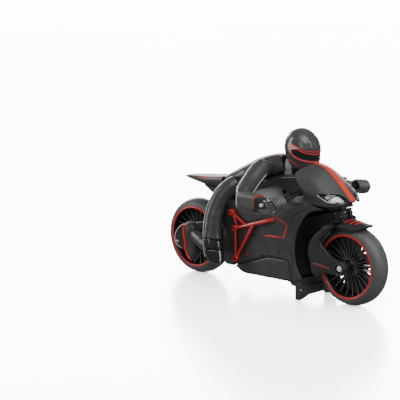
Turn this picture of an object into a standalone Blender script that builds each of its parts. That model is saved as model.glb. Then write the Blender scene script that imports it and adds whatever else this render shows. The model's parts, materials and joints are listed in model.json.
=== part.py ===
"""Radio-controlled motorcycle with a rider figure, 296 mm long.

Frame: +X is forward, +Y is the bike's left and +Z is up. The origin is on the ground, midway between
the two axles. Sizes are written in millimetres and MM turns them into metres.
"""
import math

import bmesh
import bpy
from mathutils import Matrix, Vector

MM = 0.001
GAP = 0.3                      # between pieces that touch
RUN = 0.1                      # radial clearance of a running fit

# Wheels
WHEELBASE = 214.0
TYRE_RADIUS = 41.0
BEAD_RADIUS = 33.3
RIM_INNER_RADIUS = 30.6
SPOKES = 24
SPOKE_WIDTH = 1.1
SPOKE_HALF_DEPTH = 5.0
HUB_RADIUS = 5.5
HUB_HALF_LENGTH = 10.0
AXLE_RADIUS = 2.0
FRONT_X = WHEELBASE / 2
REAR_X = -WHEELBASE / 2
AXLE_Z = TYRE_RADIUS

# Steering: heights along the raked axis are measured from the front axle
RAKE = math.radians(15)
LUG_RADIUS = 6.0
LEG_INNER_Y = 19.0
LEG_OUTER_Y = 23.0
LUG_INNER_Y = 14.0
CROWN_HALF = 8.0
CROWN_LOW = 48.0
CROWN_HIGH = 58.0
STEM_RADIUS = 3.2
HEAD_LOW = CROWN_HIGH + 0.4
HEAD_HIGH = 72.0
LEVER_LOW = HEAD_HIGH + 0.4
LEVER_HIGH = LEVER_LOW + 2.0
LEVER_LENGTH = 8.0
LINK_LOW = LEVER_HIGH + 0.4
LINK_HIGH = LINK_LOW + 1.6
PIN_RADIUS = 1.0
SERVO_BACK = 28.0              # servo shaft behind the steering axis

# Body
SIDE_OUTER = 27.5              # outer face of the side fairings, from the middle
SIDE_INNER = 25.9
SHELL = 1.6
CHASSIS_HALF = 11.0
CHASSIS_WALL = 2.0
CHASSIS_REAR = -36.0
CHASSIS_FRONT = 46.0
CHASSIS_LOW = 42.0
CHASSIS_HIGH = 84.0
PIVOT_PLATE_INNER = 9.9
PIVOT_PLATE_OUTER = 11.9
SWINGARM_INNER = 17.0
SWINGARM_OUTER = 20.0
PIVOTS = ((-54.0, 58.0), (-42.0, 34.0))

# Drive and gyroscope
MOTOR_X = -48.0
MOTOR_Z = 46.0
BELT_MIDDLE = 14.5
BELT_HALF = 1.5
BELT_THICK = 1.2
REAR_GROOVE = 10.2
MOTOR_GROOVE = 4.3
FLANGE_RISE = 2.4
GYRO = (8.0, 63.0)
GYRO_RADIUS = 15.0

# Battery bay, left side
BAY = (-2.0, 35.0, 48.0, 66.0)           # rear, front, bottom, top
SWITCH = (-20.0, 58.0)
SWITCH_TRAVEL = 3.0

# Rider
SHOULDER_CUT = 19.0
HIP_CUT = 15.4
HELMET = (39.0, 0.0, 151.0)
HELMET_RADII = (18.5, 16.5, 22.5)
HELMET_BOTTOM = 131.8
NECK_X = 30.0
NECK_RADIUS = 6.0
HAND = (62.0, 66.3, 108.5)
GRIP_RADIUS = 2.6
WRIST_PIN = (45.0, 105.6)      # x and z

FINISHES = {
    "satin_black": ((0.050, 0.050, 0.053), 0.42, 0.0),
    "gloss_black": ((0.018, 0.018, 0.020), 0.12, 0.0),
    "rubber": ((0.045, 0.045, 0.048), 0.70, 0.0),
    "suit_black": ((0.055, 0.055, 0.058), 0.50, 0.0),
    "red": ((0.620, 0.035, 0.030), 0.30, 0.0),
    "steel": ((0.620, 0.620, 0.640), 0.25, 1.0),
    "chrome": ((0.800, 0.800, 0.820), 0.10, 1.0),
    "clear": ((0.850, 0.870, 0.900), 0.05, 0.0),
    "smoke": ((0.012, 0.012, 0.016), 0.05, 0.0),
    "board_green": ((0.020, 0.180, 0.060), 0.45, 0.0),
    "wrap_blue": ((0.030, 0.120, 0.450), 0.35, 0.0),
    "servo_blue": ((0.030, 0.060, 0.250), 0.40, 0.0),
    "belt": ((0.020, 0.020, 0.020), 0.80, 0.0),
    "nylon": ((0.800, 0.790, 0.740), 0.45, 0.0),
}


# ---------------------------------------------------------------- tools

def new_collection(name):
    made = bpy.data.collections.new(name)
    bpy.context.scene.collection.children.link(made)
    return made


for leftover in list(bpy.data.objects):
    bpy.data.objects.remove(leftover, do_unlink=True)
PARTS = new_collection("rc_motorcycle")


def from_bmesh(form):
    """Put a bmesh, drawn in millimetres, in a new object in metres."""
    bmesh.ops.recalc_face_normals(form, faces=form.faces)
    data = bpy.data.meshes.new("piece")
    form.to_mesh(data)
    form.free()
    data.transform(Matrix.Scale(MM, 4))
    item = bpy.data.objects.new("piece", data)
    PARTS.objects.link(item)
    return item


def as_mesh(item):
    """Bake a curve, or a mesh with modifiers, to one welded mesh object."""
    bpy.context.view_layer.update()
    graph = bpy.context.evaluated_depsgraph_get()
    data = bpy.data.meshes.new_from_object(item.evaluated_get(graph))
    data.transform(item.matrix_world)
    form = bmesh.new()
    form.from_mesh(data)
    bmesh.ops.remove_doubles(form, verts=form.verts, dist=0.001 * MM)
    bmesh.ops.recalc_face_normals(form, faces=form.faces)
    form.to_mesh(data)
    form.free()
    made = bpy.data.objects.new("piece", data)
    PARTS.objects.link(made)
    bpy.data.objects.remove(item, do_unlink=True)
    return made


def combine(item, other, operation):
    """Join, cut or intersect two closed meshes; the second is used up."""
    step = item.modifiers.new("solid", 'BOOLEAN')
    step.operation = operation
    step.object = other
    result = as_mesh(item)
    bpy.data.objects.remove(other, do_unlink=True)
    return result


def union(first, *others):
    for other in others:
        first = combine(first, other, 'UNION')
    return first


def cut(first, *others):
    for other in others:
        first = combine(first, other, 'DIFFERENCE')
    return first


def bevelled(item, width, segments=1, angle=40):
    step = item.modifiers.new("edges", 'BEVEL')
    step.width = width * MM
    step.segments = segments
    step.limit_method = 'ANGLE'
    step.angle_limit = math.radians(angle)
    return as_mesh(item)


def moved(item, matrix):
    item.data.transform(matrix)
    return item


def block(low, high):
    """Box between two corners."""
    size = [b - a for a, b in zip(low, high)]
    middle = [(a + b) / 2 for a, b in zip(low, high)]
    form = bmesh.new()
    bmesh.ops.create_cube(form, size=1.0)
    bmesh.ops.scale(form, vec=size, verts=form.verts)
    bmesh.ops.translate(form, vec=middle, verts=form.verts)
    return from_bmesh(form)


def rod(start, end, radius, sides=16, end_radius=None):
    """Cylinder or cone frustum between two points."""
    start = Vector(start)
    end = Vector(end)
    along = end - start
    turn = Vector((0, 0, 1)).rotation_difference(along.normalized()).to_matrix().to_4x4()
    form = bmesh.new()
    bmesh.ops.create_cone(form, cap_ends=True, segments=sides, radius1=radius,
                          radius2=radius if end_radius is None else end_radius, depth=along.length,
                          matrix=Matrix.Translation((start + end) / 2) @ turn)
    return from_bmesh(form)


def pin(x, z, radius, low, high, sides=24):
    """Cylinder along Y."""
    return rod((x, low, z), (x, high, z), radius, sides)


def ball(centre, radii, columns=20, rows=10):
    form = bmesh.new()
    bmesh.ops.create_uvsphere(form, u_segments=columns, v_segments=rows, radius=1.0)
    bmesh.ops.scale(form, vec=radii, verts=form.verts)
    bmesh.ops.translate(form, vec=centre, verts=form.verts)
    return from_bmesh(form)


def plate(outline, low, high, holes=()):
    """Flat piece: an outline in X and Z, between two values of Y."""
    curve = bpy.data.curves.new("outline", 'CURVE')
    curve.dimensions = '2D'
    curve.fill_mode = 'BOTH'
    curve.extrude = (high - low) / 2 * MM
    for points in (outline, *holes):
        spline = curve.splines.new('POLY')
        spline.points.add(len(points) - 1)
        spline.use_cyclic_u = True
        for point, (x, z) in zip(spline.points, points):
            point.co = (x * MM, z * MM, 0.0, 1.0)
    item = bpy.data.objects.new("piece", curve)
    PARTS.objects.link(item)
    item.rotation_euler = (math.pi / 2, 0, 0)
    item.location = (0, (low + high) / 2 * MM, 0)
    return as_mesh(item)


def arc(x, z, radius, start, end, steps):
    """Points on an arc in the XZ plane, angles in degrees from +X towards +Z."""
    angles = [math.radians(start + (end - start) * i / steps) for i in range(steps + 1)]
    return [(x + radius * math.cos(a), z + radius * math.sin(a)) for a in angles]


def turned(profile, x, z, sides=36, ring=False):
    """Piece turned about a Y axis. The profile is (radius, y), from +y down to -y."""
    data = bpy.data.meshes.new("profile")
    count = len(profile)
    edges = [(i, i + 1) for i in range(count - 1)]
    if ring:
        edges.append((count - 1, 0))
    data.from_pydata([(r * MM, 0, y * MM) for r, y in profile], edges, [])
    item = bpy.data.objects.new("piece", data)
    PARTS.objects.link(item)
    step = item.modifiers.new("turn", 'SCREW')
    step.steps = sides
    step.render_steps = sides
    step.use_merge_vertices = True
    step.merge_threshold = 0.000001
    item.rotation_euler = (-math.pi / 2, 0, 0)
    item.location = (x * MM, 0, z * MM)
    return as_mesh(item)


def loft(sections):
    """Closed body through closed sections with the same number of points."""
    form = bmesh.new()
    rings = [[form.verts.new(point) for point in section] for section in sections]
    count = len(rings[0])
    for near, far in zip(rings, rings[1:]):
        for i in range(count):
            j = (i + 1) % count
            form.faces.new((near[i], near[j], far[j], far[i]))
    form.faces.new(rings[0])
    form.faces.new(list(reversed(rings[-1])))
    return from_bmesh(form)


def shell(rows, thickness, side=-1):
    """Sheet through rows of points, made thick on one side."""
    form = bmesh.new()
    grid = [[form.verts.new(point) for point in row] for row in rows]
    for near, far in zip(grid, grid[1:]):
        for i in range(len(near) - 1):
            form.faces.new((near[i], near[i + 1], far[i + 1], far[i]))
    data = bpy.data.meshes.new("sheet")
    form.to_mesh(data)
    form.free()
    data.transform(Matrix.Scale(MM, 4))
    item = bpy.data.objects.new("piece", data)
    PARTS.objects.link(item)
    step = item.modifiers.new("thick", 'SOLIDIFY')
    step.thickness = thickness * MM
    step.offset = side
    step.use_even_offset = True
    return as_mesh(item)


def both_sides(half):
    """Full row from one that runs from the middle out to the right (-Y) side."""
    return [(x, -y, z) for x, y, z in reversed(half) if y] + list(half)


def ellipse(centre, width, thick, slope, count=16):
    """Closed section across a body that runs forward and up at the given slope."""
    x, y, z = centre
    points = []
    for i in range(count):
        a = 2 * math.pi * i / count
        up = thick * math.sin(a)
        points.append((x - up * math.sin(slope), y + width * math.cos(a), z + up * math.cos(slope)))
    return points


def limb(controls, radii, rings=10, sides=12):
    """Round-ended limb along a Bezier curve through four controls, tapered between two radii."""
    a, b, c, d = (Vector(point) for point in controls)
    first, last = radii

    def on_curve(t):
        u = 1 - t
        return a * u ** 3 + b * 3 * u * u * t + c * 3 * u * t * t + d * t ** 3

    def direction(t):
        u = 1 - t
        return ((b - a) * u * u + (c - b) * 2 * u * t + (d - c) * t * t).normalized()

    across = direction(0).cross(direction(1)).normalized()
    sections = []

    def add_ring(centre, ahead, radius):
        side = ahead.cross(across).normalized()
        sections.append([centre + radius * (math.cos(w) * across + math.sin(w) * side)
                         for w in (2 * math.pi * i / sides for i in range(sides))])

    for lean in (75, 40):
        e = math.radians(lean)
        add_ring(a - direction(0) * first * math.sin(e), direction(0), first * math.cos(e))
    for i in range(rings + 1):
        t = i / rings
        add_ring(on_curve(t), direction(t), first + (last - first) * t)
    for lean in (40, 75):
        e = math.radians(lean)
        add_ring(d + direction(1) * last * math.sin(e), direction(1), last * math.cos(e))
    return loft(sections)


def mirrored(item):
    """Copy of a right-hand piece for the left side."""
    data = item.data.copy()
    data.transform(Matrix.Scale(-1, 4, Vector((0, 1, 0))))
    data.flip_normals()
    made = bpy.data.objects.new("piece", data)
    PARTS.objects.link(made)
    return made


def pivot(name, point, parent=None, turn=None):
    """Empty on a joint axis."""
    empty = bpy.data.objects.new(name, None)
    PARTS.objects.link(empty)
    empty.empty_display_size = 0.01
    place = Matrix.Translation(Vector(point) * MM)
    if turn:
        place = place @ turn
    if parent:
        empty.parent = parent
        bpy.context.view_layer.update()
        empty.matrix_parent_inverse = parent.matrix_world.inverted()
    empty.matrix_basis = place
    bpy.context.view_layer.update()
    return empty


def name_piece(item, name, finish, holder=None):
    """Name a piece, give it its material and hang it on its joint."""
    item.name = name
    item.data.name = name
    colour, rough, metal = FINISHES[finish]
    material = bpy.data.materials.new(name)
    material.use_nodes = True
    shader = material.node_tree.nodes["Principled BSDF"]
    shader.inputs["Base Color"].default_value = (*colour, 1.0)
    shader.inputs["Roughness"].default_value = rough
    shader.inputs["Metallic"].default_value = metal
    item.data.materials.clear()
    item.data.materials.append(material)
    item.data.shade_smooth()
    item.data.set_sharp_from_angle(angle=math.radians(35))
    if holder:
        item.data.transform(holder.matrix_world.inverted())
        item.parent = holder
    return item


def name_pair(item, name, finish, holder=None):
    """Name a right-hand piece and its mirrored left-hand twin."""
    twin = mirrored(item)
    name_piece(item, name + "_right", finish, holder)
    name_piece(twin, name + "_left", finish, holder)


AXLE = Matrix.Translation(Vector((FRONT_X, 0, AXLE_Z)) * MM)
FORK = AXLE @ Matrix.Rotation(-RAKE, 4, 'Y')


def fork_point(back, y, height):
    """World point of one given behind the steering axis, across, and up along it."""
    return Vector((FRONT_X - back * math.cos(RAKE) - height * math.sin(RAKE), y,
                   AXLE_Z - back * math.sin(RAKE) + height * math.cos(RAKE)))


# ---------------------------------------------------------------- wheels

def tyre(x):
    half = [(BEAD_RADIUS, 11.5), (36.3, 10.7), (39.0, 8.0), (40.6, 4.2), (TYRE_RADIUS, 0.0)]
    return turned(half + [(r, -y) for r, y in reversed(half[:-1])], x, AXLE_Z, ring=True)


def spokes(x):
    """Flat radial blades from inside the hub to inside the rim band."""
    form = bmesh.new()
    inner = HUB_RADIUS - 0.2
    outer = RIM_INNER_RADIUS + 1.2
    for i in range(SPOKES):
        turn = Matrix.Translation((x, 0, AXLE_Z)) @ Matrix.Rotation(2 * math.pi * (i + 0.5) / SPOKES, 4, 'Y')
        size = Matrix.Diagonal((outer - inner, SPOKE_HALF_DEPTH * 2, SPOKE_WIDTH, 1))
        bmesh.ops.create_cube(form, size=1.0,
                              matrix=turn @ Matrix.Translation(((outer + inner) / 2, 0, 0)) @ size)
    return from_bmesh(form)


def rim(x, pulley):
    """Spoked rim: band, spokes and hub in one moulding; the rear one carries the belt pulley."""
    band = turned([(BEAD_RADIUS - GAP, 11.3), (BEAD_RADIUS - GAP, -11.3),
                   (RIM_INNER_RADIUS, -11.3), (RIM_INNER_RADIUS, 11.3)], x, AXLE_Z, ring=True)
    hub = pin(x, AXLE_Z, HUB_RADIUS + 0.5, -HUB_HALF_LENGTH, HUB_HALF_LENGTH)
    if pulley:
        hub = union(hub, turned(pulley_profile(REAR_GROOVE, HUB_HALF_LENGTH - 1), x, AXLE_Z, 24))
    hub = cut(hub, pin(x, AXLE_Z, AXLE_RADIUS + RUN, -20, 20))
    return union(band, spokes(x), hub)


def pulley_profile(groove, stub_end):
    """Belt pulley with two flanges and a stub towards the middle of the bike."""
    top = BELT_MIDDLE + BELT_HALF + GAP
    low = BELT_MIDDLE - BELT_HALF - GAP
    flange = groove + FLANGE_RISE
    stub = min(groove, HUB_RADIUS) - 0.8
    return [(0, top + 0.5), (flange, top + 0.5), (flange, top), (groove, top), (groove, low),
            (flange, low), (flange, low - 0.5), (stub, low - 0.5), (stub, stub_end), (0, stub_end)]


def wheels(front_spin, rear_spin):
    name_piece(tyre(FRONT_X), "front_tyre", "rubber", front_spin)
    name_piece(rim(FRONT_X, False), "front_rim", "gloss_black", front_spin)
    name_piece(tyre(REAR_X), "rear_tyre", "rubber", rear_spin)
    name_piece(rim(REAR_X, True), "rear_rim", "gloss_black", rear_spin)
    name_piece(pin(REAR_X, AXLE_Z, AXLE_RADIUS, -20.6, 20.6), "rear_axle", "steel")


# ---------------------------------------------------------------- front fork

def fork_leg():
    """Right fork leg: a crescent behind the wheel that sweeps forward to the axle."""
    outline = [(81, 82.6), (74, 75), (69, 63), (66.3, 50), (67, 38), (70, 31), (76, 28), (82, 30.5),
               (88, 33.7), (98, 33.8)]
    outline += arc(FRONT_X, AXLE_Z, 7.4, -85, 85, 8)
    outline += [(98, 51), (89, 57), (85.5, 63), (88, 69.5), (93, 75), (99.5, 79.5), (98, 84), (90, 85)]
    shoulder = [(83, 81), (80, 77), (86, 74), (92, 78), (96, 82), (90, 83.5)]
    leg = plate(outline, -LEG_OUTER_Y, -LEG_INNER_Y)
    lug = pin(FRONT_X, AXLE_Z, LUG_RADIUS, -LEG_INNER_Y - 0.5, -LUG_INNER_Y)
    leg = union(leg, lug, plate(shoulder, -LEG_INNER_Y - 0.5, -LUG_INNER_Y - 0.2))
    leg = cut(leg, pin(FRONT_X, AXLE_Z, 4.6, -30, -LEG_OUTER_Y + 1.6))
    return cut(leg, pin(FRONT_X, AXLE_Z, AXLE_RADIUS + GAP, -30, 0))


def mudguard_row(angle, radius, half_width, skirt):
    """Row across the mudguard at one angle about the front axle."""
    a = math.radians(angle)
    half = [(radius, 0.0), (radius - 0.6, half_width * 0.6), (radius - 3.0, half_width * 0.92),
            (radius - 6.0, half_width), (radius - 6.0 - skirt, half_width)]
    return both_sides([(FRONT_X + r * math.cos(a), -y, AXLE_Z + r * math.sin(a)) for r, y in half])


def mudguard():
    """Shell that hugs the tyre, with a beak in front."""
    rows = [mudguard_row(angle, 44.2, 12.3, 4.5) for angle in range(148, 84, -9)]
    for angle, radius, half_width, skirt in ((76, 45.4, 11.8, 2.5), (69, 47.6, 10.0, 0.5),
                                             (63.5, 49.8, 6.0, 0.3)):
        rows.append(mudguard_row(angle, radius, half_width, skirt))
    return shell(rows, 1.4, 1)


def crown():
    """Steering crown with its stem and lever; drawn along the steering axis."""
    body = bevelled(block((-8, -CROWN_HALF, CROWN_LOW), (7, CROWN_HALF, CROWN_HIGH)), 1.2)
    stem = rod((0, 0, CROWN_LOW + 2), (0, 0, LEVER_HIGH - 0.3), STEM_RADIUS, 32)
    return moved(union(body, stem, lever(0, STEM_RADIUS + 1.3)), FORK)


def lever(back, hub_radius):
    """Lever to the left with an upright pin at its end."""
    hub = rod((-back, 0, LEVER_LOW), (-back, 0, LEVER_HIGH), hub_radius, 24)
    arm = block((-back - 2, 0, LEVER_LOW), (-back + 2, LEVER_LENGTH + 1.8, LEVER_HIGH))
    post = rod((-back, LEVER_LENGTH, LEVER_LOW + 0.5), (-back, LEVER_LENGTH, LINK_HIGH), PIN_RADIUS, 16)
    return union(hub, arm, post)


def link():
    """Link between the two lever pins."""
    bar = block((-SERVO_BACK - 2, LEVER_LENGTH - 2, LINK_LOW), (2, LEVER_LENGTH + 2, LINK_HIGH))
    for back in (0, SERVO_BACK):
        bar = cut(bar, rod((-back, LEVER_LENGTH, 0), (-back, LEVER_LENGTH, 99), PIN_RADIUS + RUN, 16))
    return moved(bar, FORK)


def servo():
    """Steering servo, standing behind the steering head."""
    case = block((-SERVO_BACK - 11, -6, 60), (-SERVO_BACK + 11, 6, HEAD_HIGH - 1.5))
    boss = rod((-SERVO_BACK, 0, 66), (-SERVO_BACK, 0, LEVER_LOW - GAP), 3.0, 20)
    return moved(union(bevelled(case, 0.8), boss), FORK)


def front_end(steer, horn_axis, link_axis):
    name_pair(fork_leg(), "fork_leg", "satin_black", steer)
    name_pair(pin(FRONT_X, AXLE_Z, 3.6, -22.9, -21.7), "front_axle_cap", "chrome", steer)
    name_piece(pin(FRONT_X, AXLE_Z, AXLE_RADIUS, -21.4, 21.4), "front_axle", "steel", steer)
    name_piece(mudguard(), "front_mudguard", "satin_black", steer)
    name_piece(crown(), "fork_crown", "satin_black", steer)
    name_piece(moved(lever(SERVO_BACK, 4.0), FORK), "servo_lever", "nylon", horn_axis)
    name_piece(link(), "steering_link", "nylon", link_axis)
    name_piece(servo(), "steering_servo", "servo_blue")


# ---------------------------------------------------------------- frame and drive

def chassis():
    """Open box for the gyroscope, with the motor plates behind and the steering head in front."""
    half = CHASSIS_HALF
    wall = CHASSIS_WALL
    box = cut(block((CHASSIS_REAR, -half, CHASSIS_LOW), (CHASSIS_FRONT, half, CHASSIS_HIGH)),
              block((CHASSIS_REAR + wall, -half - 5, CHASSIS_LOW + wall),
                    (CHASSIS_FRONT - wall, half - wall, CHASSIS_HIGH - wall)))
    rear_plate = [(-60, 52), (-60, 62), (-50, 66), (-30, 66), (-30, 44), (-36, 27), (-48, 27), (-56, 36)]
    neck = [(40, 72), (48.5, 74), (57, 85), (70, 94), (86, 98.5), (90, 104), (86, 109), (72, 106),
            (40, 90)]
    for low, high in ((-PIVOT_PLATE_OUTER, -PIVOT_PLATE_INNER), (PIVOT_PLATE_INNER, PIVOT_PLATE_OUTER)):
        box = union(box, plate(rear_plate, low, high))
    for low, high in ((-10.5, -8), (8, 10.5)):
        box = union(box, plate(neck, low, high))
    head = cut(block((-9.5, -9.2, HEAD_LOW), (7.5, 9.2, HEAD_HIGH)),
               rod((0, 0, 40), (0, 0, 90), STEM_RADIUS + RUN, 32))
    box = union(box, moved(head, FORK))
    for x, z in PIVOTS:
        for side in (-1, 1):
            start = side * (PIVOT_PLATE_OUTER - 1)
            box = union(box, rod((x, start, z), (x, side * (SWINGARM_INNER - GAP), z), 4.0, 16))
    return cut(box, pin(MOTOR_X, MOTOR_Z, 2.0, 5, 20, 16))


def swingarm():
    """Right arm: a long frame with a round end about the axle."""
    outline = [(-104, 58.3), (-112, 57), (-119.3, 53.4), (-125.5, 47), (-128.5, 40), (-127.8, 34),
               (-124.5, 29.6), (-118, 27.2), (-108, 26), (-70, 25.5), (-46, 25.5), (-37.5, 29),
               (-37.5, 38), (-46, 46), (-49, 60), (-55, 64.5), (-70, 63.5), (-86.7, 61.8)]
    window = [(-96, 51), (-62, 55), (-57, 45), (-61, 31.5), (-94, 30)]
    arm = plate(outline, -SWINGARM_OUTER, -SWINGARM_INNER, [window])
    bolt = pin(-123.5, 34.5, 2.0, -SWINGARM_OUTER - 1.2, -SWINGARM_INNER - 1)
    return cut(union(arm, bolt), pin(REAR_X, AXLE_Z, AXLE_RADIUS + GAP, -30, 0))


def belt():
    """Closed belt about both pulleys, with straight runs between them."""
    gap = math.hypot(REAR_X - MOTOR_X, AXLE_Z - MOTOR_Z)
    tilt = math.degrees(math.atan2(MOTOR_Z - AXLE_Z, MOTOR_X - REAR_X))
    spread = math.degrees(math.acos((REAR_GROOVE - MOTOR_GROOVE) / gap))

    def loop(extra):
        front = arc(MOTOR_X, MOTOR_Z, MOTOR_GROOVE + extra, tilt - spread, tilt + spread, 12)
        rear = arc(REAR_X, AXLE_Z, REAR_GROOVE + extra, tilt + spread, tilt + 360 - spread, 20)
        return front + rear

    return plate(loop(GAP + BELT_THICK), BELT_MIDDLE - BELT_HALF, BELT_MIDDLE + BELT_HALF, [loop(GAP + 0.1)])


def drive(motor_spin, gyro_spin):
    name_piece(chassis(), "chassis", "satin_black")
    name_pair(swingarm(), "swingarm", "satin_black")
    name_piece(belt(), "drive_belt", "belt")
    motor = turned([(0, 9.5), (7.2, 9.5), (8, 8.7), (8, -8.7), (7.2, -9.5), (0, -9.5)], MOTOR_X, MOTOR_Z, 28)
    name_piece(motor, "drive_motor", "steel")
    profile = pulley_profile(MOTOR_GROOVE, 12.2)
    shaft = pin(MOTOR_X, MOTOR_Z, 1.4, 9.9, 13, 16)
    name_piece(union(turned(profile, MOTOR_X, MOTOR_Z, 24), shaft), "motor_pulley", "nylon", motor_spin)
    x, z = GYRO
    disc = turned([(0, 0.6), (3.2, 0.6), (3.2, 0), (GYRO_RADIUS, 0), (GYRO_RADIUS, -8), (11.5, -8),
                   (11.0, -4), (5.0, -4), (4.5, -8), (0, -8)], x, z, 28)
    name_piece(disc, "gyro_flywheel", "steel", gyro_spin)
    name_piece(pin(x, z, 6.2, 1.0, CHASSIS_HALF - CHASSIS_WALL - GAP), "gyro_motor", "steel")
    board = union(block((28, -2, 48), (43, -0.4, 79)), block((31, -3.4, 55), (40, -1, 63)),
                  block((33, -4.4, 67), (39, -1, 71)))
    name_piece(board, "receiver_board", "board_green")


# ---------------------------------------------------------------- bodywork

def side_fairing():
    """Right side panel from the cowl down to the belly seam, with the wheel arch in front."""
    outline = [(70, 103.2), (89, 99.4), (75, 96), (67, 90.5), (59.5, 80.5), (54, 69), (52, 58), (52, 47),
               (55.5, 34), (62, 24), (50, 20), (48.2, 22), (45.4, 37.2), (40, 41.3), (15, 40.4),
               (0, 35.4), (-27, 26.2), (-32, 23.6), (-41, 23.4), (-44, 30), (-44, 60), (-41, 84), (-25, 85),
               (5, 83), (40, 94)]
    return bevelled(plate(outline, -SIDE_OUTER, -SIDE_INNER), 0.5)


def battery_door():
    rear, front, low, high = BAY
    return block((rear + 0.4, SIDE_INNER, low + 0.6), (front - 0.4, SIDE_OUTER, high - 0.4))


def belly_pan():
    outline = [(-27.6, 25.5), (0, 34.7), (15, 39.7), (40, 40.6), (44.7, 36.6), (47.5, 21.6), (49, 19.6),
               (47, 18.5), (-12, 17.2), (-17, 17.4), (-22, 18.4), (-31.2, 23.1)]
    pan = bevelled(plate(outline, -SIDE_OUTER, SIDE_OUTER), 2.0, 2, 70)
    room = plate([(-23, 60), (-23, 25.5), (-18, 19.6), (45, 20.6), (42.5, 36), (42.5, 60)],
                 -SIDE_INNER, SIDE_INNER)
    return cut(pan, room)


def wheel_liner():
    """Sheet across the back of the front wheel's arch."""
    path = [(69, 88.5), (60, 80.5), (53, 68), (50.8, 56), (50.6, 48), (54, 34.5), (59, 26)]
    rows = [[(x, -SIDE_INNER + GAP, z), (x, SIDE_INNER - GAP, z)] for x, z in path]
    return shell(rows, 1.4, 1)


def cowl_sheet():
    rows = [
        [(58, 0, 141), (54.5, -12, 138.2), (50.5, -25, 131), (60, -27.2, 117), (70, -27.2, 104.2)],
        [(73, 0, 137), (70, -11, 134.5), (68, -22.5, 127), (72, -26.8, 115.5), (78, -26.8, 103.2)],
        [(88, 0, 126), (86, -10.5, 124), (84, -20.5, 119), (84.5, -25, 112), (87, -25, 102.5)],
        [(98, 0, 116), (97, -9.5, 114.8), (96, -17.5, 112), (95.5, -21.5, 108), (96, -21, 102.5)],
        [(107, 0, 107.5), (106, -7, 106.7), (104, -13, 105.3), (102, -16, 104), (101, -16, 102.5)],
    ]
    return shell([both_sides(row) for row in rows], SHELL, 1)


LAMP = [(79, 114.6), (86, 117), (93, 116.2), (99, 112.6), (104.2, 107.6), (101, 106.2), (94, 107.8),
        (86, 111)]


def grown(outline, amount):
    """Outline pushed out from its middle."""
    middle = Vector((sum(x for x, _ in outline), sum(z for _, z in outline))) / len(outline)
    result = []
    for point in outline:
        away = Vector(point) - middle
        result.append(tuple(middle + away * (1 + amount / away.length)))
    return result


def cowl_and_lamps():
    """Nose cowl with an opening each side, filled by a clear lens of the same surface."""
    sheet = cowl_sheet()
    lens = combine(cowl_sheet(), plate(LAMP, -35, -4), 'INTERSECT')
    hole = plate(grown(LAMP, 0.45), -35, -4)
    sheet = cut(sheet, mirrored(hole), hole)
    name_piece(sheet, "upper_cowl", "satin_black")
    name_pair(lens, "headlamp_lens", "clear")
    bowl = bevelled(block((84, -18.4, 104.5), (93, -12.4, 110)), 0.8)
    name_pair(bowl, "headlamp_reflector", "chrome")


def tank():
    rows = [
        [(-4, 0, 112.6), (-4, -12, 111.6), (-4, -19.5, 105), (-4, -22, 86)],
        [(25, 0, 119.2), (25, -13, 118), (25, -22, 110.5), (25, -24.6, 89)],
        [(50, 0, 123), (50, -12, 121.8), (50, -20.5, 115), (50, -24.4, 97.5)],
        [(60, 0, 120), (60, -11, 118.8), (60, -18.5, 113.5), (60, -22.5, 101.5)],
    ]
    return shell([both_sides(row) for row in rows], SHELL, 1)


def tail():
    """Thin, slightly upswept tail."""
    stations = [(-67.5, 104.6, 12.5, 3.6), (-85, 105.2, 12.5, 3.2), (-105, 105.2, 10.0, 2.4),
                (-120, 105.0, 6.5, 1.8), (-127, 103.6, 3.0, 1.0)]
    sections = []
    for x, z, width, thick in stations:
        sections.append([(x, width * y, z + thick * h) for y, h in
                         ((-1, -0.2), (-0.85, 0.55), (-0.4, 1), (0.4, 1), (0.85, 0.55), (1, -0.2),
                          (0.5, -1), (-0.5, -1))])
    return loft(sections)


def trellis():
    """Right side frame: three bosses joined by round bars."""
    y = -SIDE_OUTER - 2.6
    top, middle, low = (-32.5, 81.1), (-27.4, 64.9), (-26.8, 32.6)
    bars = ((top, (-12.5, 70.0)), (middle, (22.7, 80.2)), (middle, low), ((-1.3, 73.0), low),
            ((-30, 78.4), (-24.6, 67.4)))
    frame = None
    for (x, z), (x2, z2) in bars:
        bar = rod((x, y, z), (x2, y, z2), 1.9, 10)
        frame = union(frame, bar) if frame else bar
    for x, z in (top, middle, low):
        frame = union(frame, pin(x, z, 3.3, y - 2.6, y + 2.2, 16))
    return frame


def skid():
    """Bracket under the belly with a fin at each side that ends in a flat foot."""
    top = block((46, -25, 14.2), (65, 25, 16.4))
    front = block((64, -22.5, 7.0), (65.6, 22.5, 15.2))
    fin = [(50, 15.5), (66, 15.5), (66, 6.4), (56.5, 0.0), (50.5, 0.0)]
    return union(top, front, plate(fin, -24, -21.5), plate(fin, 21.5, 24))


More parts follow.
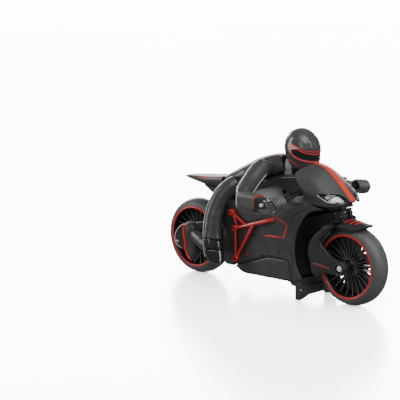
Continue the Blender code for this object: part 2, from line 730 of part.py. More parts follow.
def bodywork(door_axis, slider_axis):
    name_piece(side_fairing(), "side_fairing_right", "satin_black")
    rear, front, low, high = BAY
    x, z = SWITCH
    slot = block((x - SWITCH_TRAVEL - 0.6, 20, z - 2), (x + SWITCH_TRAVEL + 0.6, 35, z + 2))
    left = cut(mirrored(bpy.data.objects["side_fairing_right"]), slot,
               block((rear, 20, low), (front, 35, high)))
    name_piece(left, "side_fairing_left", "satin_black")
    name_piece(battery_door(), "battery_door", "satin_black", door_axis)
    knob = block((x - SWITCH_TRAVEL - 0.2, SIDE_INNER - 1, z - 1.6), (x + 0.2, SIDE_OUTER + 1.2, z + 1.6))
    name_piece(knob, "power_switch", "gloss_black", slider_axis)
    pack = bevelled(block((0, 12, 49), (33, 25, 64)), 1.5, 2)
    name_piece(pack, "battery_pack", "wrap_blue")
    name_piece(belly_pan(), "belly_pan", "satin_black")
    name_piece(wheel_liner(), "wheel_well_liner", "satin_black")
    cowl_and_lamps()
    name_piece(tank(), "tank_cover", "satin_black")
    name_piece(bevelled(block((-65, -13, 88), (-8, 13, 97.6)), 2.5, 2), "seat", "rubber")
    name_piece(tail(), "tail_cowl", "gloss_black")
    bracket = plate([(-95, 100), (-66, 99), (-66, 87), (-36.5, 80), (-36.5, 68), (-62, 80), (-92, 97.5)],
                    -8, 8)
    name_piece(bevelled(bracket, 0.8), "tail_bracket", "satin_black")
    name_pair(trellis(), "trellis_frame", "red")
    name_piece(skid(), "skid_bracket", "satin_black")


# ---------------------------------------------------------------- rider

def torso():
    """Back, chest and neck post; hollowed round the head so that it can turn."""
    stations = [(-63, 106.5, 8, 4, 18), (-56, 108, 14, 8.2, 20), (-44, 112, 15, 11, 28),
                (-28, 119, 15.5, 12, 30), (-10, 127, 18.4, 13, 28), (6, 132.4, 18.4, 12.2, 22),
                (20, 134.5, 15, 9.5, 12), (31, 131.5, 11, 6, 0), (40, 129.8, 7, 3, 0)]
    body = loft([ellipse((x, 0, z), width, thick, math.radians(slope))
                 for x, z, width, thick, slope in stations])
    body = cut(body, rod((NECK_X, 0, HELMET_BOTTOM - 0.5), (NECK_X, 0, 190), 14.2, 24),
               block((NECK_X, -30, HELMET_BOTTOM - 0.5), (90, 30, 190)),
               block((-80, -30, 60), (-40, 30, 98.2)))
    return union(body, rod((NECK_X, 0, 128), (NECK_X, 0, 141), NECK_RADIUS, 24))


def helmet_and_visor(turn):
    """Helmet with a band cut out of its front and a thin visor that fills the band."""
    def egg(less):
        return ball(HELMET, [r - less for r in HELMET_RADII], 24, 12)

    band = ((37, -30, 141), (70, 30, 154))
    visor = combine(egg(0), block(*band), 'INTERSECT')
    visor = cut(visor, egg(2.2))
    wide = block([v - GAP for v in band[0]], [v + GAP for v in band[1]])
    recess = cut(wide, egg(2.2 + GAP))
    head = cut(egg(0), recess, block((0, -40, 100), (90, 40, HELMET_BOTTOM)),
               rod((NECK_X, 0, 120), (NECK_X, 0, 141 + GAP), NECK_RADIUS + RUN, 24))
    name_piece(head, "helmet", "gloss_black", turn)
    name_piece(visor, "visor", "smoke", turn)


def bar_ends(extra=0.0):
    """Ends of the right handlebar, inner first; the outer end lies inside the fist."""
    x, y, z = HAND
    inner = Vector((58.0, -22.4, 113.8))
    outer = Vector((x + 0.4, -y - 5.5, z - 0.6))
    return inner, outer + (outer - inner).normalized() * extra


def arm():
    """Right arm, from the flat shoulder face to the wrist."""
    x, y, z = HAND
    body = limb(((3, -22, 130), (13, -67, 98), (13, -67, 98), (43, -y, 105.7)), (9.8, 7.4), 12)
    wrist = rod((40, -y, 105.4), (x - 10.0, -y, 107.0), 5.4)
    body = union(body, wrist)
    return cut(body, block((-40, -SHOULDER_CUT, 60), (60, 20, 180)), pin(*WRIST_PIN, 2.8, -80, -y - 6.0, 20))


def hand():
    x, y, z = HAND
    fist = bevelled(block((x - 8.5, -y - 7.7, z - 8.5), (x + 8.5, -y + 7.7, z + 8.5)), 4.0, 2)
    return cut(fist, rod(*bar_ends(GAP), GRIP_RADIUS + GAP, 20))


def leg():
    """Right leg: hip, thigh, knee cup and the shin that runs back to the boot."""
    thigh = limb(((-42, -19, 106), (-56, -35, 92), (-50, -46, 62), (-46, -44, 36)), (9.6, 8.8))
    shin = rod((-47, -44.8, 41), (-80, -41, 53), 7.0, 14, 6.2)
    return cut(union(thigh, shin), block((-90, -HIP_CUT, 60), (0, 20, 140)),
               block((-99, -60, 20), (-72.2, -20, 80)))


def boot():
    outline = [(-76.5, 63), (-74, 52), (-72.8, 42), (-71.5, 33), (-73, 27), (-78, 24.5), (-84, 28.5),
               (-86.5, 36), (-88, 46), (-89.5, 56), (-87, 61.5), (-82, 64.5)]
    return bevelled(plate(outline, -46, -35), 2.0, 2)


def rider(turn):
    name_piece(torso(), "torso", "suit_black")
    helmet_and_visor(turn)
    name_pair(arm(), "arm", "suit_black")
    name_pair(pin(*WRIST_PIN, 2.4, -HAND[1] - 8.2, -HAND[1] - 6.3, 20), "wrist_pin", "chrome")
    name_pair(hand(), "hand", "satin_black")
    name_pair(rod(*bar_ends(), GRIP_RADIUS, 20), "handlebar", "steel")
    name_pair(leg(), "leg", "suit_black")
    name_pair(boot(), "boot", "satin_black")


# ---------------------------------------------------------------- assembly

def build():
    tilt = Matrix.Rotation(-RAKE, 4, 'Y')
    steer = pivot("steering_axis", (FRONT_X, 0, AXLE_Z), None, tilt)
    front_spin = pivot("front_wheel_axis", (FRONT_X, 0, AXLE_Z), steer)
    rear_spin = pivot("rear_wheel_axis", (REAR_X, 0, AXLE_Z))
    motor_spin = pivot("motor_axis", (MOTOR_X, 0, MOTOR_Z))
    gyro_spin = pivot("gyro_axis", (GYRO[0], 0, GYRO[1]))
    horn_axis = pivot("servo_axis", fork_point(SERVO_BACK, 0, LEVER_LOW), None, tilt)
    link_axis = pivot("link_axis", fork_point(SERVO_BACK, LEVER_LENGTH, LINK_LOW), horn_axis, tilt)
    door_axis = pivot("door_hinge", (BAY[0], (SIDE_INNER + SIDE_OUTER) / 2, BAY[2] + 1.1))
    slider_axis = pivot("switch_slide", (SWITCH[0], SIDE_OUTER, SWITCH[1]))
    head_axis = pivot("neck_axis", (NECK_X, 0, HELMET_BOTTOM))
    wheels(front_spin, rear_spin)
    front_end(steer, horn_axis, link_axis)
    drive(motor_spin, gyro_spin)
    bodywork(door_axis, slider_axis)
    rider(head_axis)


build()
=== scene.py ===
import json
import math

import bmesh
import bpy
from mathutils import Matrix, Vector, noise
from mathutils.bvhtree import BVHTree


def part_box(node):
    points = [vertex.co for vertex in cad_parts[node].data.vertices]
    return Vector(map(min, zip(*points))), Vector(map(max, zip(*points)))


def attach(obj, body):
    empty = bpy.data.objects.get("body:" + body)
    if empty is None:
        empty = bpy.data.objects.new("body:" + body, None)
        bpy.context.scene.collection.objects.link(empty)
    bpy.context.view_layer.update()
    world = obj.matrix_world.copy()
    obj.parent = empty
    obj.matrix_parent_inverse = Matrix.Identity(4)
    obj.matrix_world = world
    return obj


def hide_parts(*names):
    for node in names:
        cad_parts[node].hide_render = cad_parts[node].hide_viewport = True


# Visual model of the motorcycle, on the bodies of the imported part. Shapes are worked out in millimetres,
# with X forward, Y to the left and Z up, and as_object turns them into metres.

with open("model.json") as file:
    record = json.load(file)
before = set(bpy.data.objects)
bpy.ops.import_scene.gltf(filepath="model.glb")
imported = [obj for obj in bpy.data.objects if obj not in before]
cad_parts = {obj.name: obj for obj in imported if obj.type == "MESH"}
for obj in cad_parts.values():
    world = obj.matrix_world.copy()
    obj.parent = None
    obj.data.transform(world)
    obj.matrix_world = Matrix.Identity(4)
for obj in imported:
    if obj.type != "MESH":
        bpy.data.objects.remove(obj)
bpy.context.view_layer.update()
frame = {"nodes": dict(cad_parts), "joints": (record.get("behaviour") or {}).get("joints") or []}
SCENE = bpy.context.scene
MM = 0.001

PHOTO_ANGLES = (44.23, 11.22, -0.356)  # azimuth, elevation and roll of the photograph, in degrees
PHOTO_PLACE = (1.2315, -1.3763, 0.4605)
PHOTO_LENS = 162
SHARP_ANGLE = math.radians(35)  # edges sharper than this aren't shaded smooth
OUTSIDE_Y = -40  # further out than the bodywork: lines are cast on to the right side from here


def box_mm(node):
    """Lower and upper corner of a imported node, in millimetres."""
    low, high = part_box(node)
    return low / MM, high / MM


def joint_mm(name):
    found = [j for j in frame["joints"] if j["name"] == name][0]
    return Vector(found["pos_m"]) / MM


FRONT = joint_mm("front_wheel_spin")
REAR = joint_mm("rear_wheel_spin")
NECK = joint_mm("head_turn")
SIDE_Y = -box_mm("side_fairing_right")[0].y


# ------------------------------------------------------------------ camera

def camera():
    """Camera at the photograph's angle."""
    azimuth, elevation, roll = (math.radians(v) for v in PHOTO_ANGLES)
    back = Vector((math.sin(azimuth) * math.cos(elevation),
        -math.cos(azimuth) * math.cos(elevation), math.sin(elevation)))
    right = Vector((math.cos(azimuth), math.sin(azimuth), 0))
    up = back.cross(right)
    side = right * math.cos(roll) + up * math.sin(roll)
    top = up * math.cos(roll) - right * math.sin(roll)
    data = bpy.data.cameras.new("camera")
    data.sensor_width = 36
    data.lens = PHOTO_LENS
    item = bpy.data.objects.new("camera", data)
    turn = Matrix((side, top, back)).transposed().to_4x4()
    item.matrix_world = Matrix.Translation(PHOTO_PLACE) @ turn
    SCENE.collection.objects.link(item)
    SCENE.camera = item


# ------------------------------------------------------------------ materials

class Tree:
    """Short way to write a material's nodes."""

    def __init__(self, name):
        self.data = bpy.data.materials.new(name)
        self.data.use_nodes = True
        self.nodes = self.data.node_tree.nodes
        self.links = self.data.node_tree.links
        self.shader = self.nodes["Principled BSDF"]
        self.out = self.nodes["Material Output"]

    def add(self, kind, **settings):
        node = self.nodes.new(kind)
        for key, value in settings.items():
            setattr(node, key, value)
        return node

    def link(self, source, target):
        self.links.new(source, target)

    def feed(self, socket, source):
        self.link(source, self.shader.inputs[socket])

    def put(self, socket, value):
        self.shader.inputs[socket].default_value = value

    def place(self):
        return self.add("ShaderNodeTexCoord").outputs["Object"]

    def noise(self, scale, detail=3.0, rough=0.5, where=None):
        node = self.add("ShaderNodeTexNoise")
        node.inputs["Scale"].default_value = scale
        node.inputs["Detail"].default_value = detail
        node.inputs["Roughness"].default_value = rough
        self.link(where or self.place(), node.inputs["Vector"])
        return node.outputs["Fac"]

    def between(self, value, low, high, to_low, to_high):
        node = self.add("ShaderNodeMapRange")
        for socket, number in zip(("From Min", "From Max", "To Min", "To Max"), (low, high, to_low, to_high)):
            node.inputs[socket].default_value = number
        self.link(value, node.inputs["Value"])
        return node.outputs["Result"]

    def mix(self, factor, first, second):
        node = self.add("ShaderNodeMix", data_type='RGBA')
        for socket, value in ((node.inputs[6], first), (node.inputs[7], second)):
            if isinstance(value, tuple):
                socket.default_value = (*value, 1.0)
            else:
                self.link(value, socket)
        self.link(factor, node.inputs[0])
        return node.outputs[2]

    def bump(self, height, distance, under=None):
        node = self.add("ShaderNodeBump")
        node.inputs["Distance"].default_value = distance
        self.link(height, node.inputs["Height"])
        if under:
            self.link(under, node.inputs["Normal"])
        return node.outputs["Normal"]


def shade(colour, amount):
    return tuple(c * amount for c in colour)


def moulded(name, colour, rough, grain=0.012, variation=0.12, spread=0.05, coat=0.0, specular=0.5, wave=0.0):
    """Moulded plastic: fine grain, mottled colour, uneven gloss and small paler specks."""
    tree = Tree(name)
    broad = tree.noise(90.0, 4.0, 0.6)
    fine = tree.noise(1500.0, 2.0, 0.6)
    base = tree.mix(tree.between(broad, 0.3, 0.7, 0.0, 1.0),
        shade(colour, 1 - variation), shade(colour, 1 + variation))
    specks = tree.between(tree.noise(420.0, 3.0, 0.7), 0.62, 0.82, 0.0, 0.35)
    tree.feed("Base Color", tree.mix(specks, base, shade(colour, 1.7)))
    tree.feed("Roughness", tree.between(broad, 0.25, 0.75, rough - spread, rough + spread))
    normal = tree.bump(fine, grain * MM)
    if wave:
        normal = tree.bump(tree.noise(55.0, 2.0, 0.4), wave * MM, normal)
    tree.feed("Normal", normal)
    tree.put("Specular IOR Level", specular)
    tree.put("Coat Weight", coat)
    tree.put("Coat Roughness", 0.08)
    return tree.data


def metal(name, colour, rough, brushed=(1, 1, 1)):
    """Metal with brushing along one axis and slightly uneven gloss."""
    tree = Tree(name)
    stretch = tree.add("ShaderNodeMapping")
    stretch.inputs["Scale"].default_value = brushed
    tree.link(tree.place(), stretch.inputs["Vector"])
    lines = tree.noise(1200.0, 3.0, 0.6, stretch.outputs["Vector"])
    broad = tree.noise(140.0, 3.0, 0.5)
    tree.feed("Base Color", tree.mix(broad, shade(colour, 0.82), colour))
    tree.feed("Roughness", tree.between(lines, 0.3, 0.7, rough * 0.75, rough * 1.3))
    tree.feed("Normal", tree.bump(lines, 0.004 * MM))
    tree.put("Metallic", 1.0)
    return tree.data


def rubber(name, colour, rough):
    """Tyre rubber: matt, with a fine grain and scuffed patches."""
    tree = Tree(name)
    broad = tree.noise(60.0, 5.0, 0.65)
    fine = tree.noise(2200.0, 2.0, 0.7)
    scuff = tree.between(tree.noise(260.0, 4.0, 0.7), 0.5, 0.75, 0.0, 0.4)
    base = tree.mix(tree.between(broad, 0.3, 0.7, 0.0, 1.0), shade(colour, 0.88), shade(colour, 1.12))
    tree.feed("Base Color", tree.mix(scuff, base, shade(colour, 1.35)))
    tree.feed("Roughness", tree.between(broad, 0.2, 0.8, rough - 0.06, rough + 0.08))
    tree.feed("Normal", tree.bump(fine, 0.02 * MM))
    tree.put("Specular IOR Level", 0.4)
    return tree.data


def clear(name, tint, gloss):
    """Thin clear plastic: what lies behind it shows, with a gloss that grows towards the edge."""
    tree = Tree(name)
    tree.nodes.remove(tree.shader)
    see = tree.add("ShaderNodeBsdfTransparent")
    see.inputs["Color"].default_value = (*tint, 1.0)
    shine = tree.add("ShaderNodeBsdfGlossy")
    shine.inputs["Color"].default_value = (1, 1, 1, 1)
    tree.link(tree.between(tree.noise(300.0), 0.3, 0.7, gloss, gloss + 0.05), shine.inputs["Roughness"])
    fresnel = tree.add("ShaderNodeFresnel")
    fresnel.inputs["IOR"].default_value = 1.35
    joined = tree.add("ShaderNodeMixShader")
    tree.link(fresnel.outputs[0], joined.inputs[0])
    tree.link(see.outputs[0], joined.inputs[1])
    tree.link(shine.outputs[0], joined.inputs[2])
    tree.link(joined.outputs[0], tree.out.inputs["Surface"])
    return tree.data


FINISH = {
    "satin": moulded("satin_black_plastic", (0.036, 0.035, 0.036), 0.38, wave=0.02),
    "panel": moulded("fairing_plastic", (0.046, 0.045, 0.046), 0.42, grain=0.010, wave=0.03),
    "suit": moulded("rider_plastic", (0.048, 0.047, 0.047), 0.34, grain=0.014, variation=0.10, wave=0.05),
    # paler copy of the suit plastic for the forearm: painted light on its flat outer face
    "sleeve": moulded("forearm_plastic_painted_light", (0.082, 0.081, 0.080), 0.36, grain=0.012, wave=0.02),
    # grey for the spoke blades' outer edges on the black rim plastic: painted highlight
    "blade": moulded("spoke_edge_painted_highlight", (0.110, 0.108, 0.106), 0.34, grain=0.006),
    "gloss": moulded("gloss_black_plastic", (0.018, 0.018, 0.019), 0.17, grain=0.003, spread=0.03, coat=0.5),
    # fork plastic, darker than the other blacks: painted shade for the shadow under the fairing
    "fork": moulded("fork_plastic_painted_shade", (0.020, 0.020, 0.021), 0.40),
    "glove": moulded("glove_plastic", (0.078, 0.078, 0.080), 0.20, grain=0.006, spread=0.04, coat=0.5),
    "helmet": moulded("helmet_plastic", (0.052, 0.051, 0.052), 0.33, grain=0.004, spread=0.03, coat=0.35),
    "visor": moulded("visor_plastic", (0.004, 0.004, 0.006), 0.07, grain=0.001, spread=0.01, coat=0.6),
    "rim": moulded("rim_plastic", (0.010, 0.010, 0.011), 0.30, grain=0.006, coat=0.1),
    "dark": moulded("dark_plastic", (0.007, 0.007, 0.008), 0.60, grain=0.02, specular=0.3),
    "red": moulded("red_paint", (0.56, 0.022, 0.020), 0.22, grain=0.003, variation=0.08, spread=0.04, coat=0.5),
    "line": moulded("red_line_paint", (0.60, 0.024, 0.022), 0.30, grain=0.004, variation=0.06),
    "faded": moulded("faded_red_paint", (0.20, 0.040, 0.030), 0.40, grain=0.006, variation=0.30),
    "stripe": moulded("orange_red_stripe", (0.66, 0.046, 0.020), 0.34, grain=0.004, variation=0.05),
    "wedge": moulded("pale_red_flash", (0.62, 0.27, 0.24), 0.30, grain=0.004, variation=0.05),
    # pale: the wrist studs' own colour, and painted highlights along the arm, leg, knee and swingarm edges
    "pale": moulded("pale_stud_and_painted_highlight", (0.72, 0.71, 0.69), 0.34, grain=0.006, variation=0.05),
    # silver: near-white plastic in place of chrome on the axle caps and the lamp's rim, plate and bulb: painted
    # reflection
    "silver": moulded("white_painted_reflection", (0.90, 0.91, 0.93), 0.20, grain=0.004, variation=0.04, coat=0.6),
    "grey": moulded("grey_rubber_trim", (0.21, 0.21, 0.20), 0.50, grain=0.02),
    "nylon": moulded("white_nylon", (0.78, 0.76, 0.70), 0.42, grain=0.01, variation=0.05),
    "blue": moulded("battery_wrap", (0.025, 0.11, 0.42), 0.32, grain=0.006, variation=0.08, coat=0.3),
    "servo": moulded("servo_case", (0.012, 0.013, 0.018), 0.38, grain=0.012),
    "board": moulded("circuit_board", (0.015, 0.150, 0.050), 0.36, grain=0.01, variation=0.25),
    "belt": rubber("belt_rubber", (0.018, 0.018, 0.018), 0.78),
    "tyre": rubber("tyre_rubber", (0.084, 0.083, 0.084), 0.46),
    "seat": rubber("seat_rubber", (0.030, 0.030, 0.030), 0.66),
    "steel": metal("brushed_steel", (0.62, 0.62, 0.64), 0.28, (0.2, 1.0, 1.0)),
    "screw": metal("screw_steel", (0.55, 0.55, 0.57), 0.30),
    "chrome": metal("chrome_plate", (0.90, 0.90, 0.92), 0.12),
    "lens": clear("lamp_lens", (0.95, 0.96, 0.97), 0.03),
}


# ------------------------------------------------------------------ mesh tools

def as_object(form, name="piece"):
    """bmesh in millimetres to an object in metres."""
    bmesh.ops.recalc_face_normals(form, faces=form.faces)
    data = bpy.data.meshes.new(name)
    form.to_mesh(data)
    form.free()
    data.transform(Matrix.Scale(MM, 4))
    item = bpy.data.objects.new(name, data)
    SCENE.collection.objects.link(item)
    return item


def to_form(item):
    """An object's mesh with its modifiers, as a bmesh in millimetres; the object is used up."""
    bpy.context.view_layer.update()
    graph = bpy.context.evaluated_depsgraph_get()
    data = bpy.data.meshes.new_from_object(item.evaluated_get(graph))
    data.transform(item.matrix_world)
    data.transform(Matrix.Scale(1 / MM, 4))
    form = bmesh.new()
    form.from_mesh(data)
    bmesh.ops.remove_doubles(form, verts=form.verts, dist=0.001)
    bpy.data.meshes.remove(data)
    bpy.data.objects.remove(item, do_unlink=True)
    return form


def joined(*forms):
    """Several bmeshes in one, side by side."""
    whole = bmesh.new()
    for form in forms:
        data = bpy.data.meshes.new("part")
        form.to_mesh(data)
        form.free()
        whole.from_mesh(data)
        bpy.data.meshes.remove(data)
    return whole


def tinted(form, index):
    for face in form.faces:
        face.material_index = index
    return form


def carved(form, *cutters, operation='DIFFERENCE'):
    """Cut closed forms out of a closed form, or with 'INTERSECT' keep only what lies inside the cutter."""
    item = as_object(form)
    tools = []
    for cutter in cutters:
        tool = as_object(cutter)
        tools.append(tool)
        step = item.modifiers.new("cut", 'BOOLEAN')
        step.operation = operation
        step.solver = 'EXACT'
        step.object = tool
    result = to_form(item)
    for tool in tools:
        bpy.data.objects.remove(tool, do_unlink=True)
    return result


def twin(form):
    """Mirror image across the middle plane."""
    other = form.copy()
    bmesh.ops.scale(other, vec=(1, -1, 1), verts=other.verts)
    bmesh.ops.reverse_faces(other, faces=other.faces)
    return other


def piece(name, form, body, finishes, nodes=()):
    """Name a piece, paint it, and let it ride on a body."""
    item = as_object(form, name)
    item.data.name = name
    for finish in ([finishes] if isinstance(finishes, str) else finishes):
        item.data.materials.append(FINISH[finish])
    item.data.shade_smooth()
    item.data.set_sharp_from_angle(angle=SHARP_ANGLE)
    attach(item, body)
    if nodes:
        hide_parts(*nodes)
    return item


def pair(name, form, body, finishes, node=None):
    """A right-hand piece and its mirrored twin on the left."""
    other = twin(form)
    for side, shape in (("right", form), ("left", other)):
        nodes = (f"{node}_{side}",) if node else ()
        piece(f"{name}_{side}", shape, body, finishes, nodes)


def curve_through(points, steps, closed=False):
    """Catmull-Rom curve through tuples of any length."""
    count = len(points)
    spans = count if closed else count - 1
    made = []
    for i in range(spans):
        if closed:
            four = [points[(i + k) % count] for k in (-1, 0, 1, 2)]
        else:
            four = [points[min(max(i + k, 0), count - 1)] for k in (-1, 0, 1, 2)]
        for j in range(steps):
            t = j / steps
            made.append(tuple(0.5 * (2 * b + (c - a) * t + (2 * a - 5 * b + 4 * c - d) *
                t * t + (3 * b - a - 3 * c + d) * t ** 3) for a, b, c, d in zip(*four)))
    if not closed:
        made.append(tuple(points[-1]))
    return made


def skin(rings, cap=True):
    """Surface over closed rings of points; cap fills its ends."""
    form = bmesh.new()
    rows = [[form.verts.new(point) for point in ring] for ring in rings]
    count = len(rows[0])
    for near, far in zip(rows, rows[1:]):
        for i in range(count):
            j = (i + 1) % count
            form.faces.new((near[i], near[j], far[j], far[i]))
    if cap:
        form.faces.new(rows[0])
        form.faces.new(list(reversed(rows[-1])))
    return form


def lathe(profile, x, z, steps):
    """Turn a closed profile of (radius, y) about a Y axis."""
    rings = []
    for i in range(steps):
        a = 2 * math.pi * i / steps
        rings.append([(x + r * math.cos(a), y, z + r * math.sin(a)) for r, y in profile])
    form = skin(rings + [rings[0]], cap=False)
    bmesh.ops.remove_doubles(form, verts=form.verts, dist=0.0005)
    return form


def rod(x, z, radius, near, far, steps):
    """Plain cylinder about a Y axis, between two values of Y."""
    return lathe([(0.0, near), (radius, near), (radius, far), (0.0, far)], x, z, steps)


def mirrored(half):
    """Profile of (radius, y) down to y = 0, carried on to the other side."""
    return half + [(r, -y) for r, y in reversed(half[:-1])]


def turned_on(profile, start, along, steps=32):
    """Turn a closed profile of (distance along, radius) about any line; its first and last radius are 0."""
    along = Vector(along).normalized()
    turn = Vector((0, 0, 1)).rotation_difference(along).to_matrix()
    start = Vector(start)
    rings = []
    for far, radius in profile:
        ring = []
        for i in range(steps):
            a = 2 * math.pi * i / steps
            ring.append(start + turn @ Vector((radius * math.cos(a), radius * math.sin(a), far)))
        rings.append(ring)
    form = skin(rings, cap=False)
    bmesh.ops.remove_doubles(form, verts=form.verts, dist=0.0005)
    return form


def plug(start, along, radius, near, far, steps):
    """Plain cylinder about any line, between two distances along it."""
    return turned_on([(near, 0), (near, radius), (far, radius), (far, 0)], start, along, steps)


# How far out and how wide the rings of a rounded end are
TUBE_END = [(0.38, 0.92), (0.7, 0.71), (0.92, 0.38)]
LIMB_END = [(0.94, 0.34), (0.77, 0.64), (0.5, 0.87), (0.26, 0.966)]


def tube(path, radius, sides=10, squash=1.0, across=None):
    """Round bar along points, with rounded ends. A function may give the radius from 0 to 1 along it."""
    path = [Vector(p) for p in path]
    grow = radius if callable(radius) else (lambda t: radius)
    rings = []
    side = None
    count = len(path)
    for i, point in enumerate(path):
        ahead = (path[min(i + 1, count - 1)] - path[max(i - 1, 0)]).normalized()
        if side is None:
            side = Vector(across) if across else ahead.orthogonal()
        side = (side - ahead * side.dot(ahead)).normalized()
        up = ahead.cross(side)
        size = grow(i / (count - 1))
        here = [(0.0, 1.0)]
        if i == 0:
            here = [(-lean, wide) for lean, wide in reversed(TUBE_END)] + here
        if i == count - 1:
            here = here + TUBE_END
        for lean, wide in here:
            rings.append(oval(point + ahead * size * lean, side,
                up, size * wide, size * wide * squash, sides))
    return skin(rings)


def oval(centre, side, up, half, high, sides, power=2.0):
    """Superellipse ring: power 2 is round, and more is squarer."""
    ring = []
    for i in range(sides):
        a = 2 * math.pi * i / sides
        c, s = math.cos(a), math.sin(a)
        u = math.copysign(abs(c) ** (2 / power), c)
        v = math.copysign(abs(s) ** (2 / power), s)
        ring.append(centre + side * half * u + up * high * v)
    return ring


def limb(stations, across, sides, steps, relief, ends):
    """Body swept along stations of (x, y, z, half width, half depth, squareness).

    The half width lies along `across` and the half depth is square to it. relief(t, angle) moves the
    surface out by millimetres. ends says how far each end is domed, as a share of its half depth.
    """
    rows = curve_through(stations, steps)
    count = len(rows)
    points = [Vector(r[:3]) for r in rows]
    rings = []
    grid = []
    for i, row in enumerate(rows):
        ahead = (points[min(i + 1, count - 1)] - points[max(i - 1, 0)]).normalized()
        side = Vector(across(i / (count - 1)) if callable(across) else across)
        side = (side - ahead * side.dot(ahead)).normalized()
        up = ahead.cross(side)
        half, deep, power = row[3:6]
        ring = oval(points[i], side, up, half, deep, sides, power)
        if relief:
            t = i / (count - 1)
            ring = [p + (p - points[i]).normalized() * relief(t, 360.0 * k / sides)
                    for k, p in enumerate(ring)]
        grid.append(ring)
        if i == 0 and ends[0]:
            for lean, wide in LIMB_END:
                rings.append([points[0] + (p - points[0]) * wide -
                    ahead * deep * ends[0] * lean for p in ring])
        rings.append(ring)
        if i == count - 1 and ends[1]:
            for lean, wide in reversed(LIMB_END):
                rings.append([points[-1] + (p - points[-1]) * wide
                    + ahead * deep * ends[1] * lean for p in ring])
    return skin(rings), grid


def slab(outline, low, high, edge=0.6, holes=(), rounds=3):
    """Flat piece with rounded edges: an outline in X and Z, between two values of Y."""
    curve = bpy.data.curves.new("outline", 'CURVE')
    curve.dimensions = '2D'
    curve.fill_mode = 'BOTH'
    curve.extrude = ((high - low) / 2 - edge) * MM
    curve.bevel_depth = edge * MM
    curve.bevel_resolution = rounds
    curve.offset = -edge * MM
    for points in (outline, *holes):
        spline = curve.splines.new('POLY')
        spline.points.add(len(points) - 1)
        spline.use_cyclic_u = True
        for point, (x, z) in zip(spline.points, points):
            point.co = (x * MM, z * MM, 0.0, 1.0)
    item = bpy.data.objects.new("slab", curve)
    SCENE.collection.objects.link(item)
    item.rotation_euler = (math.pi / 2, 0, 0)
    item.location = (0, (low + high) / 2 * MM, 0)
    return to_form(item)


def brick(low, high, edge=0.0, segments=2):
    """Block between two corners, with rounded edges."""
    form = bmesh.new()
    bmesh.ops.create_cube(form, size=1.0)
    bmesh.ops.scale(form, vec=[b - a for a, b in zip(low, high)], verts=form.verts)
    bmesh.ops.translate(form, vec=[(a + b) / 2 for a, b in zip(low, high)], verts=form.verts)
    if edge:
        bmesh.ops.bevel(form, geom=form.edges[:], offset=edge, segments=segments, profile=0.5, affect='EDGES')
    return form


def patch(rows, across_steps, along_steps):
    """Smooth grid of points through rows of points."""
    wide = [curve_through(row, across_steps) for row in rows]
    columns = [curve_through(column, along_steps) for column in zip(*wide)]
    return [list(row) for row in zip(*columns)]


def thick(grid, amount, inward):
    """Closed sheet over a grid of points; its normals are turned towards the point `inward` first."""
    count, width = len(grid), len(grid[0])
    points = [[Vector(p) for p in row] for row in grid]
    inner = []
    for i in range(count):
        row = []
        for j in range(width):
            u = points[min(i + 1, count - 1)][j] - points[max(i - 1, 0)][j]
            v = points[i][min(j + 1, width - 1)] - points[i][max(j - 1, 0)]
            normal = u.cross(v).normalized()
            if normal.dot(Vector(inward) - points[i][j]) < 0:
                normal = -normal
            row.append(points[i][j] + normal * amount)
        inner.append(row)
    form = bmesh.new()
    top = [[form.verts.new(p) for p in row] for row in points]
    low = [[form.verts.new(p) for p in row] for row in inner]
    for i in range(count - 1):
        for j in range(width - 1):
            form.faces.new((top[i][j], top[i][j + 1], top[i + 1][j + 1], top[i + 1][j]))
            form.faces.new((low[i][j], low[i + 1][j], low[i + 1][j + 1], low[i][j + 1]))
    for i in range(count - 1):
        for j in (0, width - 1):
            form.faces.new((top[i][j], top[i + 1][j], low[i + 1][j], low[i][j]))
    for j in range(width - 1):
        for i in (0, count - 1):
            form.faces.new((top[i][j], top[i][j + 1], low[i][j + 1], low[i][j]))
    return form


def both_sides(half):
    """Full row from one that runs from the middle out to the right."""
    return [(x, -y, z) for x, y, z in reversed(half) if y] + list(half)


def tree_of(form):
    """Search tree of a form, for casting lines on to it."""
    form.normal_update()
    return BVHTree.FromBMesh(form)


def ribbon(surface, path, toward, width, rise=0.22, sink=0.25, taper=0.0):
    """Raised line laid on a surface: each path point is cast along `toward` on to it."""
    hits = []
    for point in path:
        aim = Vector(toward(point) if callable(toward) else toward).normalized()
        spot, normal, _, _ = surface.ray_cast(Vector(point) - aim * 40, aim)
        if spot is not None:
            hits.append((spot, normal if normal.dot(aim) < 0 else -normal))
    rings = []
    count = len(hits)
    for i, (spot, normal) in enumerate(hits):
        ahead = (hits[min(i + 1, count - 1)][0] - hits[max(i - 1, 0)][0]).normalized()
        side = ahead.cross(normal).normalized()
        size = width / 2
        if taper:
            share = min(i, count - 1 - i) / (count - 1)
            size *= min(1.0, 0.15 + share / taper)
        rings.append([spot + side * size - normal * sink, spot + side * size + normal * rise * 0.4,
                      spot + side * size * 0.7 + normal * rise, spot - side * size * 0.7 + normal * rise,
                      spot - side * size + normal * rise * 0.4, spot - side * size - normal * sink])
    return skin(rings)


def side_line(surface, path, steps, *sizes):
    """Ribbon on a right-hand face, from a path in X and Z; sizes are ribbon's width, rise, sink and taper."""
    return ribbon(surface, curve_through([(x, OUTSIDE_Y, z) for x, z in path], steps), (0, 1, 0), *sizes)


def screw(at, along, radius, rise=0.5, cross=True):
    """Screw head with a cross recess, proud of the point by `rise`."""
    along = Vector(along).normalized()
    head = turned_on([(-1.0, 0.0), (-1.0, radius), (rise * 0.35, radius),
        (rise * 0.8, radius * 0.82), (rise, radius * 0.45), (rise, 0.0)], at, along, 20)
    if not cross:
        return head
    turn = Vector((0, 0, 1)).rotation_difference(along).to_matrix().to_4x4()
    place = Matrix.Translation(Vector(at)) @ turn
    cutters = []
    for long, short in ((1.2, 0.28), (0.28, 1.2)):
        size = (radius * long, radius * short, rise)
        cutter = brick((-size[0] / 2, -size[1] / 2, rise * 0.35), (size[0] / 2, size[1] / 2, rise * 2))
        bmesh.ops.transform(cutter, matrix=place, verts=cutter.verts)
        cutters.append(cutter)
    return carved(head, *cutters)


